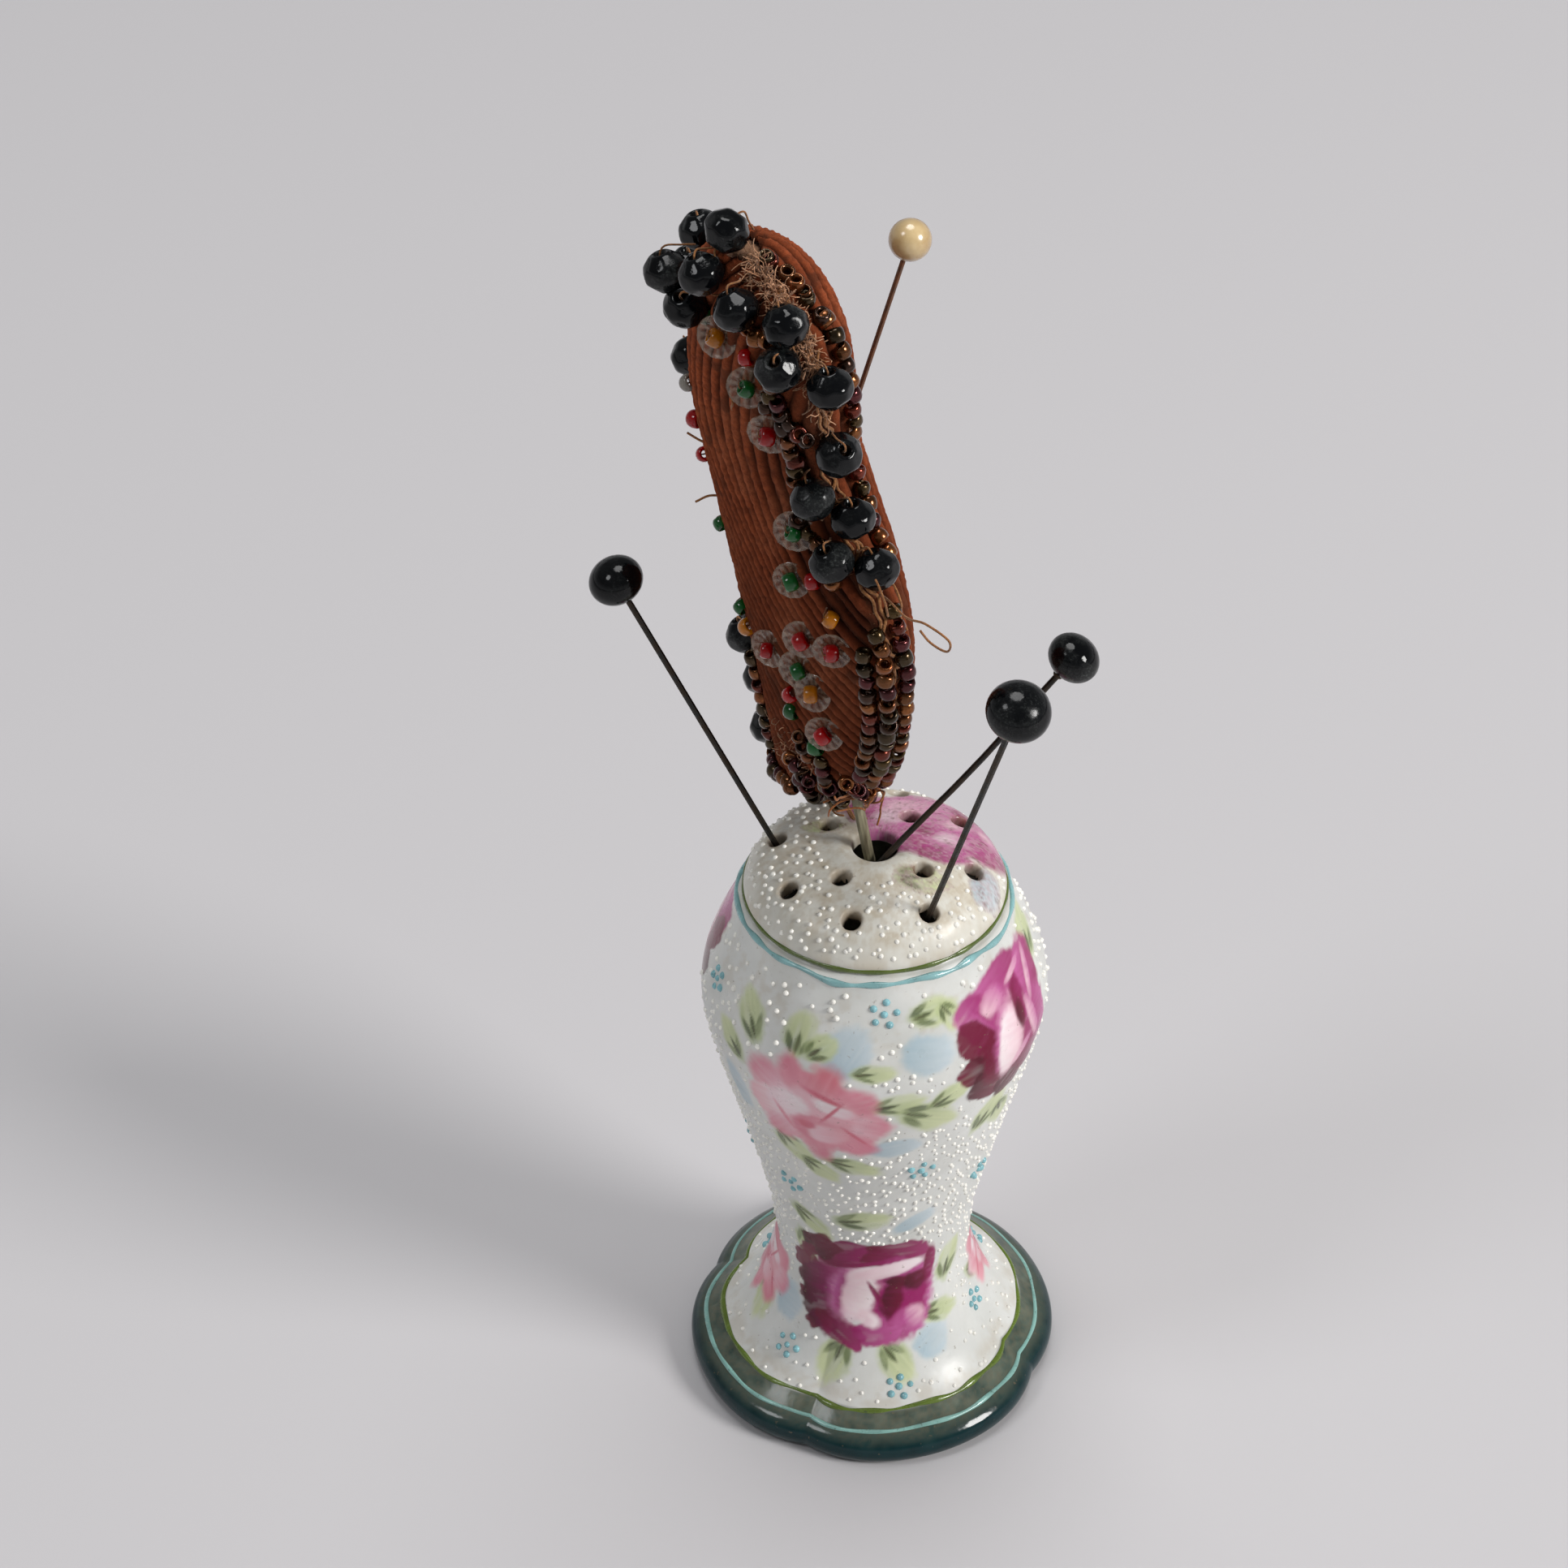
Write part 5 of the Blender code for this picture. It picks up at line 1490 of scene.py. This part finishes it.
LOOSE_THREADS = (
    (66.0, -10.0, ((3.0, -1.0, 1.0), (8.0, -4.0, 2.5), (13.0, -5.0, 3.5), (17.0, -9.0, 3.0),
                   (15.0, -11.5, 2.0), (11.0, -9.5, 1.5), (10.0, -7.0, 2.0))),
    (68.0, -6.0, ((2.0, 2.0, 1.0), (5.0, 1.5, 2.5), (7.0, -3.0, 3.0), (6.5, -6.0, 2.5))),
    (66.0, -16.0, ((2.5, 1.0, 0.5), (4.0, -3.0, 1.0), (3.0, -6.0, 0.5), (4.5, -8.0, 1.5))),
    (8.0, -12.0, ((1.5, -1.0, 0.5), (4.0, -1.5, 2.0), (6.5, 0.5, 3.0), (8.0, 3.0, 2.0),
                  (10.0, 2.0, 0.0))),
    (6.5, -30.0, ((1.0, -1.5, 1.0), (3.5, -2.5, 0.0), (5.5, -0.5, -1.5), (4.5, 2.0, -1.0),
                  (2.5, 1.5, 0.5))),
    (7.0, 4.0, ((1.0, -2.0, 1.0), (2.5, -3.5, 2.5), (5.0, -3.0, 3.5), (7.5, -1.5, 3.0),
                (9.0, -2.5, 1.5))),
    (9.0, -4.0, ((2.0, 1.5, 1.0), (4.5, 2.5, 2.0), (6.0, 0.5, 1.0), (4.5, -1.5, 0.5),
                 (3.0, -0.5, 1.0))),
    (74.0, 150.0, ((1.5, 1.0, 0.5), (3.2, 2.5, 1.0))), (64.0, 150.0, ((2.0, 0.5, 0.0),
                                                                   (4.5, -0.5, 0.6))),
    (92.0, 80.0, ((0.6, 1.5, 0.6), (0.9, 3.5, -0.6), (0.5, 5.0, 0.2))),
    (112.0, 8.0, ((2.2, -1.0, 0.6), (3.2, -4.0, 1.4), (2.2, -7.0, 0.4), (2.6, -9.0, -0.6))),
    (106.0, -8.0, ((2.0, 1.0, 0.6), (3.0, -1.5, 1.6), (2.4, -4.0, 1.0), (0.6, -6.0, 0.0))),
)


# ---------------------------------------------------------------- pins
def head_profile(radius, height, rows=26):
    angles = np.linspace(0.02, math.pi - 0.02, rows)
    return [(radius * math.sin(a), -height * math.cos(a)) for a in angles]


def build_heads():
    """Hat pin heads and the pearl as smooth turned pieces, with their collars."""
    for name, (at, head, width, dust) in HAT_PINS.items():
        axis = unit(np.array(head) - np.array(at))
        radius = 0.5 * width
        centre = node_middle(f"hat_pin_{name}_head")
        heap = Heap()
        profile = head_profile(radius, radius * HEAD_FLATTEN)
        heap.add(*turned_shape(profile, centre, axis, 48))
        material = jet_material(f"jet_head_{name}", dust, 0.06)
        piece = heap.piece(f"jet_pin_head_{name}", material, f"hat_pin_{name}")
        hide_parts(f"hat_pin_{name}_head")
        collar = Heap()
        low = centre - axis * (radius * HEAD_FLATTEN + 0.15)
        ring = ((0.6, -0.55), (0.85, -0.3), (1.0, 0.1), (0.95, 0.5), (0.6, 0.62))
        collar.add(*turned_shape(ring, low, axis, 20))
        collar.piece(f"pin_collar_{name}", STEEL, f"hat_pin_{name}")
    centre = node_middle("pearl_pin_head")
    heap = Heap()
    heap.add(*turned_shape(head_profile(3.4, 3.4, 30), centre, (0.2, 0.4, 0.9), 48))
    piece = heap.piece("pearl_bead", pearl_material(), "pearl_pin")
    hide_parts("pearl_pin_head")


# ---------------------------------------------------------------- stage
def area_light(name, place, target, size, power, colour=(1, 1, 1)):
    data = bpy.data.lights.new(name, "AREA")
    data.shape = "ELLIPSE"
    data.size, data.size_y = size
    data.energy = power
    data.color = colour
    obj = bpy.data.objects.new(name, data)
    obj.location = place
    way = Vector(target) - Vector(place)
    obj.rotation_euler = way.to_track_quat("-Z", "Y").to_euler()
    bpy.context.scene.collection.objects.link(obj)


def build_stage():
    mesh = bpy.data.meshes.new("floor")
    reach = 12.0  # metres, so that the horizon lies level in the low views
    mesh.from_pydata(
        [(-reach, -reach, 0), (reach, -reach, 0), (reach, reach, 0), (-reach, reach, 0)],
        [], [(0, 1, 2, 3)],
    )
    material, _, shader = new_material("floor", roughness=0.9, colour=tuple(tint(199, 197, 199)))
    shader.inputs["Specular IOR Level"].default_value = 0.1
    mesh.materials.append(material)
    floor = bpy.data.objects.new("floor", mesh)
    floor.location.z = CAD_BOX[0][2] - 0.0002
    bpy.context.scene.collection.objects.link(floor)
    world = bpy.data.worlds.new("studio")
    world.use_nodes = True
    background = world.node_tree.nodes["Background"]
    background.inputs["Color"].default_value = (0.92, 0.93, 0.95, 1.0)
    sky = world.node_tree
    way = add_node(sky, "ShaderNodeTexCoord").outputs["Generated"]
    level = add_node(sky, "ShaderNodeSeparateXYZ", {"Vector": way}).outputs["Z"]
    glow = range_node(sky, level, 0.02, 0.36, 0.58, 0.17)
    sky.links.new(glow, background.inputs["Strength"])
    bpy.context.scene.world = world
    area_light("key", (1.9, -0.9, 1.27), (0, 0, 0.06), (0.8, 0.8), 46.0, (1.0, 0.985, 0.97))
    area_light("fill", (-1.4, -0.6, 2.0), (0, 0, 0.1), (0.7, 0.7), 9.6, (0.97, 0.98, 1.0))
    area_light("top", (0.0, 0.5, 2.5), (0, 0, 0.1), (1.35, 1.35), 28.0)


def build_camera():
    data = bpy.data.cameras.new("camera")
    data.lens = 87.58
    data.sensor_width = 36.0
    data.clip_start = 0.01
    obj = bpy.data.objects.new("camera", data)
    pitch, roll = math.radians(39.32), math.radians(-0.69)
    ahead = Vector((0.0, math.cos(pitch), -math.sin(pitch)))
    right = Vector((1.0, 0.0, 0.0))
    above = Vector((0.0, math.sin(pitch), math.cos(pitch)))
    leaned = math.cos(roll) * right + math.sin(roll) * above
    upright = math.cos(roll) * above - math.sin(roll) * right
    turn = Matrix((leaned, upright, -ahead)).transposed().to_4x4()
    obj.matrix_world = Matrix.Translation((-0.0155, -0.4976, 0.5421)) @ turn
    bpy.context.scene.collection.objects.link(obj)
    bpy.context.scene.camera = obj


def dress_node(name, material):
    """Puts a material on a CAD node that stays as it is."""
    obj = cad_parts[name]
    for slot in obj.material_slots:
        slot.material = material


STEEL = metal_material("blued_steel", tint(44, 44, 42), tint(74, 60, 46), 0.75, 260, 0.42)
RUST = metal_material("rusted_pin", tint(88, 66, 52), tint(120, 74, 46), 0.35, 600, 0.3)

build_camera()
build_stage()
build_holder(porcelain_material())
line_enamel = enamel_material("line_enamel", tint(52, 66, 52), 0.6)
ring_line("turquoise_foot_line", 6.15, 0.45, 0.1, tint(128, 172, 164), line_enamel)
ring_line("green_foot_line", 8.3, 0.55, 0.16, tint(92, 112, 40), line_enamel, 0.3, 0.35)
ring_line("turquoise_collar_line", 110.2, 0.55, 0.2, tint(132, 176, 178), line_enamel, 0.2, 0.35)
ring_line("green_collar_line", 111.95, 0.62, 0.04, tint(84, 100, 40), line_enamel, 0.0)
build_dots(enamel_material("white_enamel", tint(176, 156, 126), 0.2),
           enamel_material("turquoise_enamel", tint(50, 58, 52), 0.6))
corduroy = corduroy_material()
build_cover("corduroy_left", "cushion_left_panel", 1, corduroy)
build_cover("corduroy_right", "cushion_right_panel", -1, corduroy)
batting = fibre_material("cotton_batting", tint(208, 160, 124), tint(150, 102, 70))
thread = fibre_material("tan_thread", tint(176, 122, 74), tint(118, 72, 38))
build_stuffing(batting)
build_black_beads(jet_material("jet_glass", 0.16), jet_material("dusty_jet_glass", 0.72), thread)
build_seed_rows(bead_glass_material("bronze_glass", 0.85, 0.3, 0.12, 0.4))
coloured_glass = bead_glass_material("coloured_glass", 0.0, 0.3, 0.05, 0.3)
build_ornaments(coloured_glass, sequin_material(), thread)
build_frays(thread, batting)
build_heads()
dress_node("stick", wood_material())
for pin in HAT_PINS:
    dress_node(f"hat_pin_{pin}_shaft", STEEL)
dress_node("pearl_pin_shaft", RUST)
bpy.context.scene.view_settings.view_transform = "Standard"
